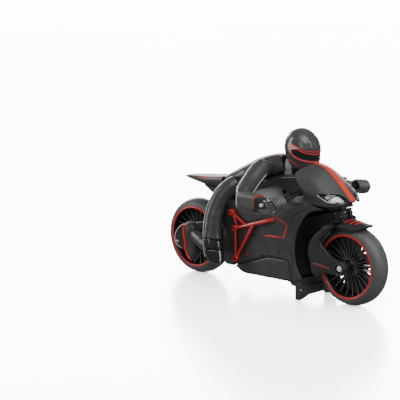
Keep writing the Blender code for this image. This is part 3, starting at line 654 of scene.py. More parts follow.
def smooth_loop(points, steps=5, sharp=()):
    """Closed outline made smooth, apart from the corners whose numbers are in `sharp`."""
    if not sharp:
        return curve_through(points, steps, closed=True)
    made = []
    order = sorted(sharp)
    for k, start in enumerate(order):
        stop = order[(k + 1) % len(order)]
        run = [points[start]]
        i = start
        while True:
            i = (i + 1) % len(points)
            run.append(points[i])
            if i == stop:
                break
        made += curve_through(run, steps)[:-1]
    return made


# ------------------------------------------------------------------ wheels

SPOKES = 24


def tyre(centre):
    half = [(33.3, 11.35), (33.7, 11.5), (34.3, 11.45), (34.6, 11.2), (35.2, 11.1), (36.2, 10.75), (37.2,
        10.15), (38.2, 9.2), (39.1, 7.9), (39.85, 6.3), (40.4, 4.6), (40.75, 2.9), (40.95, 1.3), (41.0, 0.0)]
    return lathe(mirrored(half), centre.x, centre.z, 144)


def spoke_blades(centre):
    """Thin blades from the hub to the rim; their outer edges are painted lighter than their sides, a painted
    highlight.
    """
    sections = []
    for far, half, deep in ((4.5, 0.62, 7.0), (8, 0.52, 5.4), (13, 0.44, 4.4),
            (19, 0.42, 4.2), (25, 0.44, 4.6), (29, 0.52, 5.4), (31.6, 0.62, 6.4)):
        half_ring = [(deep, half * 0.5), (deep - 0.3, half), (0.0, half * 0.8), (-deep + 0.3, half),
                     (-deep, half * 0.5)]
        ring = half_ring + [(y, -z) for y, z in reversed(half_ring)]
        sections.append(tuple(c for y, z in ring for c in (far, y, z)))
    blade = [[Vector(row[k:k + 3]) for k in range(0, len(row), 3)] for row in curve_through(sections, 3)]
    forms = []
    for i in range(SPOKES):
        turn = Matrix.Rotation(2 * math.pi * (i + 0.5) / SPOKES, 4, 'Y')
        turn = Matrix.Translation((centre.x, 0, centre.z)) @ turn
        forms.append(skin([[turn @ p for p in ring] for ring in blade]))
    form = joined(*forms)
    form.normal_update()
    for face in form.faces:
        # faces across the axle, the blades' outer edges, take the lighter grey: painted highlight
        face.material_index = 2 if abs(face.normal.y) > 0.5 else 0
    return form


def rim(centre, pulley):
    """Rim: band with lips, blades, stepped hub, and a red bead round each lip."""
    band = [(33.0, 11.1), (32.9, 11.3), (31.9, 11.3), (31.5, 11.0), (31.2, 10.2), (30.7, 9.6), (30.5, 8.0),
            (30.4, 4.0), (30.4, 0.0)]
    forms = [lathe(mirrored(band), centre.x, centre.z, 120)]
    hub = [(2.1, 10.0), (4.4, 10.0), (4.8, 9.6), (4.8, 8.8), (6.4, 8.3), (6.9, 7.6), (6.9, 6.9), (6.2, 6.4),
           (5.8, 3.0), (5.8, 0.0)]
    forms.append(lathe(mirrored(hub), centre.x, centre.z, 64))
    if pulley:
        low, high = box_mm("drive_belt")
        inner, outer = low.y - 0.3, high.y + 0.3
        wheel = [(2.1, outer + 0.5), (12.4, outer + 0.5), (12.6, outer + 0.3), (12.2, outer),
            (10.2, outer - 0.2), (10.2, inner + 0.2), (12.2, inner), (12.6, inner - 0.3),
            (12.4, inner - 0.5), (5.0, inner - 0.5), (4.8, 9.6), (2.1, 9.6)]
        forms.append(lathe(wheel, centre.x, centre.z, 64))
    form = tinted(joined(*forms), 0)
    beads = []
    for side in (1, -1):
        ring = [(32.2 + 1.1 * math.cos(math.radians(a)), side * (11.2 + 0.5 * math.sin(math.radians(a))))
                for a in range(0, 360, 30)]
        beads.append(tinted(lathe(ring, centre.x, centre.z, 144), 1))
    return joined(form, spoke_blades(centre), *beads)


def wheels():
    piece("tyre_front", tyre(FRONT), "front_wheel", "tyre", ["front_tyre"])
    piece("tyre_rear", tyre(REAR), "rear_wheel", "tyre", ["rear_tyre"])
    piece("rim_front", rim(FRONT, False), "front_wheel", ["rim", "line", "blade"], ["front_rim"])
    piece("rim_rear", rim(REAR, True), "rear_wheel", ["rim", "line", "blade"], ["rear_rim"])


# ------------------------------------------------------------------ front fork

FORK_SCREW = (104.5, 34.6)
STEER_TILT = math.radians(15)


def fork_leg():
    """Crescent plate bored for the axle cap, with a lip round the bore and a faded stripe."""
    front, z = FRONT.x, FRONT.z
    back = [(88, 81.2), (80.5, 76.0), (73.8, 70.4), (68.8, 63.5), (66.3, 56.5), (66.2, 50), (68.4, 42.5),
            (69.8, 36), (72, 31), (77, 28.4), (82, 30.5), (88, 33.7), (98, 33.8)]
    nose = [(front + 7.4 * math.cos(math.radians(a)), z + 7.4 * math.sin(math.radians(a)))
            for a in range(-80, 81, 20)]
    inner = [(98, 51), (89.5, 56.6), (83.2, 62.2), (82.0, 66.8), (86.2, 71.0), (91.5, 75.6), (95.0, 79.5),
             (96.5, 82.6)]
    outline = smooth_loop(back + nose + inner, 4)
    leg = slab(outline, -23.0, -19.0, 0.9, rounds=4)
    leg = carved(leg, rod(front, z, 4.7, -30.0, -20.4, 48), rod(*FORK_SCREW, 1.1, -30.0, -22.2, 24))
    lug = lathe([(6.0, -19.4), (6.0, -14.4), (5.6, -14.0), (2.3, -14.0), (2.3, -19.4)], front, z, 48)
    shoulder = slab([(83, 81), (80, 77), (86, 74), (92, 78), (96, 82), (90, 83.5)], -19.4, -13.7, 0.5)
    leg = carved(leg, rod(front, z, 2.3, -30.0, -10.0, 32))
    lip = lathe([(4.6, -22.9), (5.7, -22.9), (5.6, -23.25), (5.1, -23.4), (4.7, -23.25)], front, z, 56)
    stripe = side_line(tree_of(leg), [(72.5, 41.6), (80, 41.2), (89, 40.3), (96, 39.6)],
        6, 2.6, 0.12, 0.3, 0.25)
    return joined(leg, lug, shoulder, lip, tinted(stripe, 1))


def axle_cap():
    return lathe([(0.0, -23.2), (1.3, -23.1), (2.4, -22.7), (3.1, -22.0),
        (3.5, -21.2), (3.5, -20.6), (0.0, -20.6)], FRONT.x, FRONT.z, 48)


def mudguard_row(angle, radius, half_width, drop):
    """Crowned cross-section at an angle round the wheel, its edge lower than its middle by `drop`."""
    a = math.radians(angle)
    bend = min(1.0, drop / 8.4)
    half = [(radius - down * bend, half_width * share) for down, share in
            ((0.0, 0.0), (0.4, 0.3), (1.8, 0.62), (4.2, 0.87), (7.2, 1.0))] + [(radius - drop, half_width)]
    return both_sides([(FRONT.x + r * math.cos(a), -y, FRONT.z + r * math.sin(a)) for r, y in half])


def mudguard():
    """Thin guard that narrows to a beak, with three raised chevrons."""
    rows = [mudguard_row(angle, radius, 12.3, 10.9) for angle, radius in ((148, 45.0),
        (139, 45.2), (130, 45.6), (121, 46.2), (112, 47.0), (103, 47.6), (94, 47.5), (85, 46.9))]
    for angle, radius, half_width, drop in ((77, 47.0, 11.6, 9.0),
            (70, 48.0, 9.6, 5.2), (66, 49.0, 7.4, 2.6), (63.8, 49.6, 4.8, 1.1)):
        rows.append(mudguard_row(angle, radius, half_width, drop))
    grid = patch(rows, 3, 5)
    form = thick(grid, 0.8, FRONT)
    surface = tree_of(form)
    parts = [tinted(form, 0)]
    for start, run in ((90.0, 9.6), (82.0, 9.2), (74.5, 7.6)):
        for side in (-1, 1):
            path = []
            for k in range(17):
                s = 0.06 + 0.94 * k / 16
                a = math.radians(start + 5.5 * s)
                path.append((FRONT.x + 47 * math.cos(a), side * run * s, FRONT.z + 47 * math.sin(a)))
            parts.append(tinted(ribbon(surface, path, lambda p: Vector((FRONT.x, p[1], FRONT.z)) - Vector(p),
                1.9, 0.15, 0.5, 0.12), 1))
    return joined(*parts)


def crown_details():
    """Screws on the steering crown, its ribs, and the block and fin that join it to the mudguard."""
    forms = []
    tilt = Matrix.Translation(FRONT) @ Matrix.Rotation(-STEER_TILT, 4, 'Y')
    turn = tilt.to_3x3()
    for x, y, z in ((7.0, -4.6, 54.6), (7.0, 4.6, 54.6)):
        forms.append(screw(tilt @ Vector((x, y, z)), turn @ Vector((1, 0, 0)), 1.0, 0.6))
    for side in (-1, 1):
        for x, z in ((-3.6, 54.8), (3.8, 51.0)):
            forms.append(screw(tilt @ Vector((x, side * 8.0, z)), turn @ Vector((0, side, 0)), 1.0, 0.6))
    piece("crown_screws", joined(*forms), "fork", "screw")
    blocks = [brick((-8.35, -8.45, z - 0.45), (7.35, 8.45, z + 0.45), 0.3) for z in (49.3, 52.8, 56.6)]
    blocks += [brick(low, high, 0.8, 3) for low, high in
               (((-13.5, -10.6, 43.0), (7.6, 10.6, 49.0)), ((-10.0, -6.0, 48.0), (-2.0, 6.0, 57.0)),
                ((7.2, -1.1, 46.0), (10.2, 1.1, 57.5)))]
    blocks = joined(*blocks)
    bmesh.ops.transform(blocks, matrix=tilt, verts=blocks.verts)
    piece("crown_ribs", blocks, "fork", "rim")


def front_end():
    # fork legs and mudguard in the darkened fork plastic: painted shade
    pair("fork_blade", fork_leg(), "fork", ["fork", "faded"], "fork_leg")
    # axle caps in near-white plastic: a painted reflection of their chrome
    pair("axle_cap", axle_cap(), "fork", "silver", "front_axle_cap")
    head = screw((FORK_SCREW[0], -22.3, FORK_SCREW[1]), (0, -1, 0), 1.0, 0.35)
    pair("fork_screw", head, "fork", "screw")
    piece("mudguard", mudguard(), "fork", ["fork", "line"], ["front_mudguard"])
    crown_details()


# ------------------------------------------------------------------ bodywork

LAMP = [(80.0, 113.3), (84.6, 114.5), (89.0, 114.8), (93.6, 114.4), (98.2, 112.9), (102.0, 110.3),
        (106.0, 106.9), (102.9, 106.5), (98.7, 106.6), (93.9, 106.9), (89.9, 108.0), (85.3, 110.4)]
COWL_ROWS = [  # from the windscreen to the tip of the nose, each from the middle out to the right
    [(58, 0, 141), (54.5, -12, 138.2), (50.5, -25, 131), (60, -27.2, 117), (70, -27.2, 104.2)],
    [(73, 0, 137), (70, -11, 134.5), (68, -22.5, 127), (72, -26.8, 115.5), (78, -26.8, 103.2)],
    [(88, 0, 126), (86, -10.5, 124), (84, -20.5, 119), (84.5, -25, 112), (87, -25, 102.5)],
    [(98, 0, 116), (97, -9.5, 114.8), (96, -17.5, 112), (95.5, -21.5, 108), (96, -21, 102.5)],
    [(107, 0, 107.5), (106, -7, 106.7), (104, -13, 105.3), (102, -16, 104), (101, -16, 102.5)],
]
COWL_INSIDE = (72, 0, 100)
COWL_THICK = 1.5
COWL_STEPS = 26  # points from the stripe to the edge
STRIPE_HALF = 3.9
LAMP_INSIDE = Vector((80, 0, 104))


def cowl_grid():
    """Points of the cowl's outer surface, with one line of them along each edge of the middle stripe."""
    columns = zip(*[both_sides(row) for row in COWL_ROWS])
    grid = []
    for line in zip(*[curve_through(column, 7) for column in columns]):
        right = [p for p in curve_through(line, 24) if p[1] < 1e-6]
        at = next(k for k, p in enumerate(right) if p[1] < -STRIPE_HALF)
        a, b = right[at - 1], right[at]
        t = (-STRIPE_HALF - a[1]) / (b[1] - a[1])
        edge = tuple(u + (v - u) * t for u, v in zip(a, b))
        between = tuple((u + v) / 2 for u, v in zip(right[0], edge))
        rest = right[at:]
        outer = [rest[round(k * (len(rest) - 1) / COWL_STEPS)] for k in range(1, COWL_STEPS + 1)]
        grid.append(both_sides([right[0], between, edge] + outer))
    return grid


def lamp_shape(grow):
    """Outline of the right headlamp in X and Z, moved out by `grow`."""
    middle = Vector((sum(x for x, _ in LAMP), sum(z for _, z in LAMP))) / len(LAMP)
    points = []
    for x, z in smooth_loop(LAMP, 3, sharp=(0, 6)):
        away = Vector((x, z)) - middle
        points.append(tuple(middle + away * (1 + grow / away.length)))
    return points


def lamp_block(grow):
    """Block in the headlamp's outline that runs right through the right side of the cowl."""
    return slab(lamp_shape(grow), -36, -4.5, 0.01, rounds=0)


def cowl():
    """Nose and windscreen, with an orange stripe down the middle and an opening for each headlamp."""
    form = thick(cowl_grid(), COWL_THICK, COWL_INSIDE)
    for face in form.faces:
        if all(abs(v.co.y) < STRIPE_HALF + 0.01 for v in face.verts) and face.calc_area() > 0.01:
            face.material_index = 1
    return carved(form, lamp_block(0.5), twin(lamp_block(0.5)))


def lens():
    """The part of a thinner cowl that lies in the headlamp's outline."""
    return carved(thick(cowl_grid(), 0.9, COWL_INSIDE), lamp_block(0.0), operation='INTERSECT')


def lamp_inside():
    """What lies behind the lens: a dark tray, chrome lines round a ring, and a rim, plate and bulb whose
    near-white is a painted reflection of silver.
    """
    surface = tree_of(thick(cowl_grid(), COWL_THICK, COWL_INSIDE))

    def on_cowl(x, z, depth):
        spot = surface.ray_cast(Vector((x, -60, z)), Vector((0, 1, 0)))[0]
        if spot is None:
            spot = surface.find_nearest(Vector((x, -6, z)))[0]
        return spot + (LAMP_INSIDE - spot).normalized() * depth

    rim_line = [on_cowl(x, z, 1.9) for x, z in lamp_shape(1.6)]
    deep_line = [on_cowl(x, z, 5.5) for x, z in lamp_shape(-0.8)]
    tray = bmesh.new()
    wall = Vector((0, 0.8, -0.3))
    a = [tray.verts.new(p) for p in rim_line]
    b = [tray.verts.new(p) for p in deep_line]
    c = [tray.verts.new(p + wall) for p in deep_line]
    d = [tray.verts.new(p + wall) for p in rim_line]
    count = len(a)
    for i in range(count):
        j = (i + 1) % count
        tray.faces.new((a[i], a[j], b[j], b[i]))
        tray.faces.new((d[i], c[i], c[j], d[j]))
        tray.faces.new((a[i], d[i], d[j], a[j]))
    tray.faces.new(b)
    tray.faces.new(list(reversed(c)))
    edge = tube([on_cowl(x, z, 0.9) for x, z in lamp_shape(-0.2)][24:] + [on_cowl(*LAMP[0], 0.9)], 0.72, 10)
    lines = [tube([on_cowl(x, z, 3.0) for x, z in curve_through(path, 6)], 0.22, 8) for path in
             ([(84.6, 113.3), (89, 113.4), (94.4, 112.9)], [(85.6, 111.9), (89.4, 111.8), (94.0, 111.2)],
              [(87.2, 110.5), (90.2, 110.2), (92.6, 109.6)])]
    plate = []
    for k in range(13):
        s = k / 12
        low_x, high_x = 92.2 + 11.6 * s, 97.0 + 6.8 * s
        low_z, high_z = 107.5 - 0.2 * s, 112.8 - 5.2 * s ** 1.25
        plate.append([on_cowl(low_x + (high_x - low_x) * t, low_z + (high_z - low_z) * t,
            1.7 - 0.6 * math.sin(math.pi * t)) for t in (0, 0.17, 0.33, 0.5, 0.67, 0.83, 1)])
    mirror = thick(plate, 0.5, LAMP_INSIDE)
    centre = on_cowl(89.0, 112.0, 4.4)
    look = Vector((0.75, -0.62, 0.15))
    ring = turned_on([(-1.2, 1.7), (-1.2, 2.2), (0.5, 2.3), (0.9, 2.0), (0.5, 1.7), (-0.8, 1.5)],
        centre, look, 32)
    bulb = turned_on([(-0.8, 0.0), (-0.8, 1.5), (0.1, 1.4), (0.8, 0.9), (1.0, 0.0)], centre, look, 32)
    return tray, joined(*lines, ring), joined(edge, mirror, bulb)


def tank():
    """Tank shell, stepped in under its top edge, with a round hole in each side."""
    rows = []
    for x, top, wide, low in ((-46, 99.5, 12.0, 76), (-24, 111.0, 12.2, 76), (-2, 119.5, 12.8, 78),
            (25, 126.5, 13.2, 80), (50, 130.0, 12.6, 87), (60, 127.0, 12.0, 89), (70, 120.0, 11.0, 93)):
        step = (top - low) / 40
        rows.append([(x, 0, top), (x, -wide * 0.6, top - 0.2), (x, -wide, top - 1.2),
            (x, -wide - 3.6, top - 3.6), (x, -wide - 3.4, top - 6.5), (x, -wide - 2.2, top - 11 * step),
            (x, -wide - 4.6, top - 20 * step), (x, -wide - 9.2, top - 28 * step), (x, -wide - 11.2, low)])
    form = thick(patch([both_sides(row) for row in rows], 6, 6), 1.5, (12, 0, 70))
    holes = [plug((28.5, side * 17.0, 109.0), (0, side, 0.3), 2.3, -4, 8, 28) for side in (-1, 1)]
    return carved(form, *holes)


FAIRING = [(70, 103.2), (89, 99.4), (75, 96), (67, 90.5), (59.5, 80.5), (54, 69), (52, 58),
    (52, 47), (55.5, 34), (62, 24), (50, 20), (48.2, 22), (45.4, 37.2), (40, 41.3),
    (15, 40.4), (0, 35.4), (-27, 26.2), (-32, 23.6), (-43, 23.4), (-47, 30), (-48, 60),
    (-52, 67), (-51, 78), (-47, 90), (-33, 93), (-16, 88.5), (5, 84.5), (40, 94)]
FAIRING_CORNERS = (0, 1, 9, 10, 13, 18, 20, 21, 23)


def channel(path, width, depth):
    """Cutter for a groove in the right side panel."""
    return tube([(x, -SIDE_Y, z) for x, z in path], width / 2, 10, 2 * depth / width, (1, 0, 0))


def side_panel():
    """Side fairing with its seams, screw holes and slots, and the raised lip round its wheel arch."""
    outline = smooth_loop(FAIRING, 5, sharp=FAIRING_CORNERS)
    panel = slab(outline, -SIDE_Y, -SIDE_Y + 1.6, 0.45, rounds=3)
    cutters = [channel(curve_through(path, steps) if steps else path, width, depth)
               for path, steps, width, depth in (
        ([(-0.3, 85.9), (6.3, 85.2), (8.3, 82.2), (7.2, 79.4), (0.0, 76.9), (-12.0, 73.5)], 6, 1.3, 0.9),
        ([(46.2, 50.5), (50.0, 45.0), (50.6, 40.0), (48.6, 33.0), (48.8, 27.0)], 6, 0.9, 0.6),
        ([(49.3, 87.6), (56.0, 92.2), (66.0, 96.4)], 6, 0.7, 0.5),
        ([(-26, 27.6), (0, 36.7), (15, 41.6), (26, 42.3)], 0, 0.6, 0.5),
        ([(-13, 55.5), (-8, 59.6), (0, 61.6), (7, 61.8)], 6, 0.7, 0.5),
        ([(-6, 66.8), (0, 67.6), (6, 67.4)], 5, 0.6, 0.4))]
    for x, z, radius, depth in ((-13.9, 38.6, 0.9, 1.0), (14.8, 45.0, 0.8, 0.9),
            (31.6, 48.4, 0.9, 0.9), (57.0, 90.6, 0.8, 0.9), (45.0, 90.0, 0.7, 0.8),
            (51.6, 25.0, 1.0, 0.9), (-37.0, 78.0, 1.1, 1.0), (-38.0, 30.0, 1.1, 1.0)):
        cutters.append(rod(x, z, radius, -SIDE_Y - 5, -SIDE_Y + depth, 28))
    for path, wide in (([(7.4, 39.9), (11.0, 40.6)], 1.7), ([(47.6, 34.2), (50.6, 31.2)], 2.3)):
        cutters.append(channel(path, wide, 1.2))
    panel = carved(panel, *cutters)
    surface = tree_of(panel)
    lip = side_line(surface, [(72.0, 95.2), (66.2, 90.2), (58.6, 80.2), (53.2, 69),
        (51.2, 58), (51.2, 47), (54.7, 34), (60.5, 24.6)], 8, 1.2, 0.35, 0.5)
    return panel, surface, lip


def red_lines(surface):
    """Thin red figure on the side panel, fading out at its ends."""
    forms = []
    for path, width, taper in (([(22.5, 85.6), (33.5, 80.8), (42.0, 77.0)], 1.1, 0.5),
            ([(42.2, 77.4), (40.2, 71.0), (36.9, 62.9)], 1.9, 0.0),
            ([(37.1, 63.2), (28.0, 63.0), (18.0, 62.4), (8.4, 62.0)], 2.2, 0.5)):
        forms.append(side_line(surface, path, 10, width, 0.2, 0.4, taper))
    forms.append(lathe([(0.0, -SIDE_Y - 0.5), (0.9, -SIDE_Y - 0.45), (1.25, -SIDE_Y - 0.1),
        (1.25, -SIDE_Y + 0.6), (0.0, -SIDE_Y + 0.6)], -12.8, 38.5, 24))
    return joined(*forms)


def belly():
    """Belly pan, with a narrower slab inside that reaches up behind the side panels."""
    outline = smooth_loop([(-27.6, 25.5), (0, 34.7), (15, 39.7), (40, 40.6), (44.7, 36.6),
        (47.5, 21.6), (49, 19.6), (47, 18.5), (-12, 17.2), (-17, 17.4), (-22, 18.4), (-31.2, 23.1)],
        4, sharp=(0, 2, 3, 6, 7, 8, 11))
    inner = smooth_loop([(-30, 24.5), (-28, 31), (0, 41), (15, 46), (47, 46), (50, 37), (49.5, 22),
        (58, 23), (60, 15.8), (46, 15.8), (44, 19), (-12, 19)], 3, sharp=tuple(range(12)))
    return joined(slab(outline, -SIDE_Y, SIDE_Y, 2.0, rounds=4),
        slab(inner, -SIDE_Y + 2.0, SIDE_Y - 2.0, 0.5))


def liner():
    """Curved wall behind the front wheel."""
    path = [(69, 88.5), (60, 80.5), (53, 68), (50.8, 56), (50.6, 48), (54, 34.5), (59, 26)]
    half = SIDE_Y - 1.9
    rows = [[(x, -half, z), (x, -half * 0.33, z), (x, half * 0.33, z), (x, half, z)] for x, z in path]
    return thick(patch(rows, 4, 6), 1.3, (20, 0, 60))


def tail():
    """Thin tail with a dished top and two red lines along each side of it."""
    stations = [(-64, 106.6, 12.5, 6.2), (-76, 105.8, 12.7, 5.6), (-88, 105.1, 12.5, 4.8),
        (-104, 105.2, 10.0, 3.2), (-117, 105.2, 7.0, 2.0), (-124.6, 104.9, 4.2, 1.3), (-127, 104.6, 2.4, 0.7)]
    section = [(-0.96, -0.5), (-1.0, 0.3), (-0.93, 0.78), (-0.8, 0.96), (-0.4, 0.92), (0.0, 0.8), (0.4, 0.92),
               (0.8, 0.96), (0.93, 0.78), (1.0, 0.3), (0.96, -0.5), (0.8, -0.95), (0.0, -1.0), (-0.8, -0.95)]
    rings = []
    for x, z, width, deep in curve_through(stations, 6):
        rings.append([(x, width * y, z + deep * h) for y, h in
                      curve_through(section, 4, closed=True)])
    form = skin(rings)
    surface = tree_of(form)
    parts = [tinted(form, 0)]
    for side in (-1, 1):
        for path, sizes in (([(-66, 11.3), (-88, 11.2), (-104, 8.9), (-116, 6.2)], (1.9, 0.16, 0.3, 0.6)),
                ([(-68, 6.8), (-90, 6.4), (-110, 4.2)], (1.0, 0.14, 0.3, 0.4))):
            line = curve_through([(x, side * y, 130) for x, y in path], 8)
            parts.append(tinted(ribbon(surface, line, (0, 0, -1), *sizes), 1))
    return joined(*parts)


def trellis():
    """Red bars and their screw bosses, and the screws."""
    y = -SIDE_Y - 2.6
    top, middle, low = (-32.5, 81.1), (-27.4, 64.9), (-26.8, 32.6)
    bars = [tube([(x, y, z), (x2, y, z2)], radius, 24) for (x, z), (x2, z2), radius in
            ((top, (-12.5, 70.0), 1.5), (middle, (16.0, 78.2), 2.0), (middle, low, 1.45),
             ((-1.3, 73.0), low, 1.7), ((-30, 78.4), (-24.6, 67.4), 1.3))]
    bars.append(tube([(14.0, y, 77.6), (19.0, y + 0.8, 79.1), (23.5, y + 2.4, 80.4)], 2.0, 24))
    bosses = []
    screws = []
    for x, z in (top, middle, low):
        bosses.append(lathe([(0.0, y - 2.2), (1.6, y - 2.2), (1.7, y - 2.6), (2.7, y - 2.6),
            (3.2, y - 2.2), (3.3, y - 1.6), (3.3, y + 2.0), (0.0, y + 2.0)], x, z, 36))
        screws.append(screw((x, y - 2.2, z), (0, -1, 0), 1.35, 0.3))
    return joined(*bars, *bosses), joined(*screws)


def skid():
    """Plate under the belly with two fins and three ribs, and its bolts."""
    forms = [brick((46, -25, 14.2), (65, 25, 16.4), 0.5), brick((64, -22.5, 7.0), (65.6, 22.5, 15.2), 0.4)]
    fin = [(50, 15.5), (66, 15.5), (66, 6.4), (56.5, 0.0), (50.5, 0.0)]
    for low, high in ((-24, -21.5), (21.5, 24)):
        forms.append(slab(fin, low, high, 0.35))
    for y in (-14, 0, 14):
        forms.append(brick((65.3, y - 1.0, 8.4), (66.4, y + 1.0, 14.0), 0.3))
    bolts = [screw((49.5, y, 16.4), (0, 0, 1), 1.5, 0.6) for y in (-20, 20)]
    bolts += [screw((58.5, side * 24.0, 11.0), (0, side, 0), 1.3, 0.45) for side in (-1, 1)]
    return joined(*forms), joined(*bolts)


def swingarm():
    """Flat arm with a window, two raised rails and a pale line round its rear end, a painted highlight on that
    edge.
    """
    outline = [(-104, 58.3), (-112, 57), (-119.3, 53.4), (-125.5, 47), (-128.5, 40),
        (-127.8, 34), (-124.5, 29.6), (-118, 27.2), (-108, 26), (-70, 25.5), (-46, 25.5),
        (-37.5, 29), (-37.5, 38), (-46, 46), (-49, 60), (-55, 64.5), (-70, 63.5), (-86.7, 61.8)]
    window = [(-96, 51), (-62, 55), (-57, 45), (-61, 31.5), (-94, 30)]
    arm = slab(smooth_loop(outline, 4), -20.0, -17.0, 0.8, [list(reversed(smooth_loop(window, 4)))], 4)
    surface = tree_of(arm)
    parts = [arm]
    for path, steps, sizes, index in (
            ([(-100, 55.2), (-84, 58.6), (-62, 59.6)], 8, (1.4, 0.3, 0.4), 0),
            ([(-102, 28.4), (-84, 27.8), (-60, 28.0)], 8, (1.2, 0.3, 0.4), 0),
            # pale line round the rear end: painted highlight
            ([(-108.5, 56.4), (-118.3, 52.8), (-124.5, 46.6), (-127.3, 40), (-126.7, 34), (-123.6, 30.2),
              (-116, 28)], 6, (0.8, 0.2, 0.4, 0.2), 1)):
        parts.append(tinted(side_line(surface, path, steps, *sizes), index))
    return joined(*parts)


def bodywork():
    piece("nose_cowl", cowl(), "bike", ["panel", "stripe"], ["upper_cowl"])
    pair("lamp_glass", lens(), "bike", "lens", "headlamp_lens")
    tray, chrome, silver = lamp_inside()
    pair("lamp_tray", tray, "bike", "dark", None)
    pair("lamp_chrome", chrome, "bike", "chrome", "headlamp_reflector")
    pair("lamp_plate", silver, "bike", "silver", None)
    piece("tank_shell", tank(), "bike", "satin", ["tank_cover"])
    panel, surface, lip = side_panel()
    lines = red_lines(surface)
    left = twin(joined(panel.copy(), lip.copy()))
    piece("side_panel_right", joined(tinted(panel, 0), lip), "bike", "panel", ["side_fairing_right"])
    rear, door_top = box_mm("battery_door")
    switch_low, switch_high = box_mm("power_switch")
    opening = brick((rear.x - 0.4, 20, rear.z - 0.6), (door_top.x + 0.4, 35, door_top.z + 0.4))
    slot = brick((switch_low.x - 0.5, 20, switch_low.z - 0.4), (switch_high.x + 3.4, 35, switch_high.z + 0.4))
    piece("side_panel_left", tinted(carved(left, opening, slot), 0), "bike", "panel", ["side_fairing_left"])
    pair("side_line", lines, "bike", "line", None)
    piece("belly_shell", belly(), "bike", "panel", ["belly_pan"])
    piece("arch_liner", liner(), "bike", "dark", ["wheel_well_liner"])
    piece("tail_shell", tail(), "bike", ["suit", "line"], ["tail_cowl"])
    bars, screws = trellis()
    pair("side_frame", bars, "bike", "red", "trellis_frame")
    pair("side_frame_screw", screws, "bike", "dark", None)
    plates, bolts = skid()
    piece("skid_plate", plates, "bike", "satin", ["skid_bracket"])
    piece("skid_bolts", bolts, "bike", "screw")
    pair("rear_arm", swingarm(), "bike", ["gloss", "pale"], "swingarm")
    bolts = [screw((x, -20.0, z), (0, -1, 0), radius, rise)
             for x, z, radius, rise in ((-123.5, 34.5, 1.9, 1.1), (-107, 41.0, 2.6, 0.6))]
    pair("rear_arm_bolt", joined(*bolts), "bike", "screw")


# ------------------------------------------------------------------ rider

HELMET_RINGS = [
    # height, rear x, front x, half width
    (131.8, 35.6, 52.0, 8.0), (132.6, 33.6, 54.2, 10.2), (134.2, 31.2, 55.8, 12.2), (137.0, 28.4, 57.2, 14.0),
    (141.0, 25.0, 57.8, 15.8), (147.0, 21.2, 58.0, 17.0), (152.0, 19.8, 58.2, 17.4), (157.0, 19.6, 57.8, 17.2),
    (162.0, 21.0, 55.8, 16.2), (166.0, 23.2, 52.4, 14.4), (169.8, 26.2, 47.6, 11.4), (172.2, 29.2, 42.8, 8.0),
    (173.6, 31.8, 38.8, 4.6), (174.1, 33.6, 36.8, 1.8),
]
HELMET_MIDDLE = 38.0


def helmet_point(azimuth, height, out=0.0):
    """Point on the helmet: azimuth in degrees from straight ahead to the right, and its height."""
    rows = HELMET_RINGS
    i = next((k for k in range(len(rows) - 1) if height <= rows[k + 1][0]), len(rows) - 2)
    four = [rows[min(max(i + k, 0), len(rows) - 1)] for k in (-1, 0, 1, 2)]
    t = (height - four[1][0]) / (four[2][0] - four[1][0])
    _, rear, front, half = (0.5 * (2 * b + (c - a) * t + (2 * a - 5 * b + 4 * c - d)
        * t * t + (3 * b - a - 3 * c + d) * t ** 3) for a, b, c, d in zip(*four))
    c, s = math.cos(math.radians(azimuth)), math.sin(math.radians(azimuth))
    reach = front - HELMET_MIDDLE if c > 0 else HELMET_MIDDLE - rear
    away = Vector((reach * c, -half * s, 0))
    slope = Vector((c, -s, max(0.0, (height - 152) / 22))).normalized()
    return Vector((HELMET_MIDDLE, 0, height)) + away + slope * out


def helmet_form():
    """Shell with a sunken middle channel, two crest ridges, a brow and a chin bar."""
    def bell(value, centre, width):
        return math.exp(-((value - centre) / width) ** 2)

    rings = []
    for height in (131.8, 132.1, 132.6, 133.4, 134.6, 136.0, 137.5,
            *(139 + 1.5 * k for k in range(22)), 171.8, 172.8, 173.5, 174.1):
        ring = []
        for k in range(128):
            azimuth = 360 * k / 128
            side = abs((azimuth + 180) % 360 - 180)
            across = abs(helmet_point(azimuth, height).y)
            start, climb = (153.5, 3) if side < 90 else (146, 8)
            crown = min(1.0, max(0.0, (height - start) / climb))
            ridge = crown * (0.75 * bell(across, 6.6, 1.5) - 0.45 * bell(across, 0, 4.2))
            facing = max(0, math.cos(math.radians(side)))
            brow = 0.45 * bell(height, 155.6, 1.4) * facing ** 0.5 if side < 90 else 0
            jaw = 0.4 * bell(height, 137.5, 2.2) * (0.4 + 0.6 * facing)
            fade = 1 if height < 170 else max(0.0, (174.1 - height) / 4.1)
            ring.append(helmet_point(azimuth, height, (ridge + brow + jaw) * fade))
        rings.append(ring)
    return skin(rings)


def helmet_line(path, radius, sides=10, out=0.12):
    """Raised line on the helmet, through points of (azimuth, height)."""
    return tube([helmet_point(a, h, out) for a, h in curve_through(path, 8)], radius, sides, 0.7, (0, 0, 1))


UPPER_LINE = [(101, 158.2), (97, 160.2), (90, 160.0), (69, 156.9), (50, 154.2), (31, 152.6), (9, 151.6),
              (0, 151.5)]
LOWER_LINE = [(101, 158.2), (99, 154.6), (91, 151.0), (82, 147.8), (69, 145.0), (50, 143.0), (31, 141.8),
              (9, 140.9), (0, 140.8)]
BROW_LINE = [(66, 154.4), (50, 151.8), (31, 150.1), (9, 149.0), (0, 148.9)]
CHIN_LINE = [(116, 143.8), (104, 142.6), (90, 140.9), (71, 138.0), (57, 136.2), (44, 135.2)]


def level_at(line, azimuth):
    """Height at an azimuth of a line of (azimuth, height)."""
    line = sorted(line)
    for (a, h), (b, k) in zip(line, line[1:]):
        if a <= azimuth <= b:
            return h + (k - h) * (azimuth - a) / (b - a)
    return line[-1][1]


VISOR_HALF = 84  # azimuth of the visor's ends
HEAD_MIDDLE = (HELMET_MIDDLE, 0, 150)


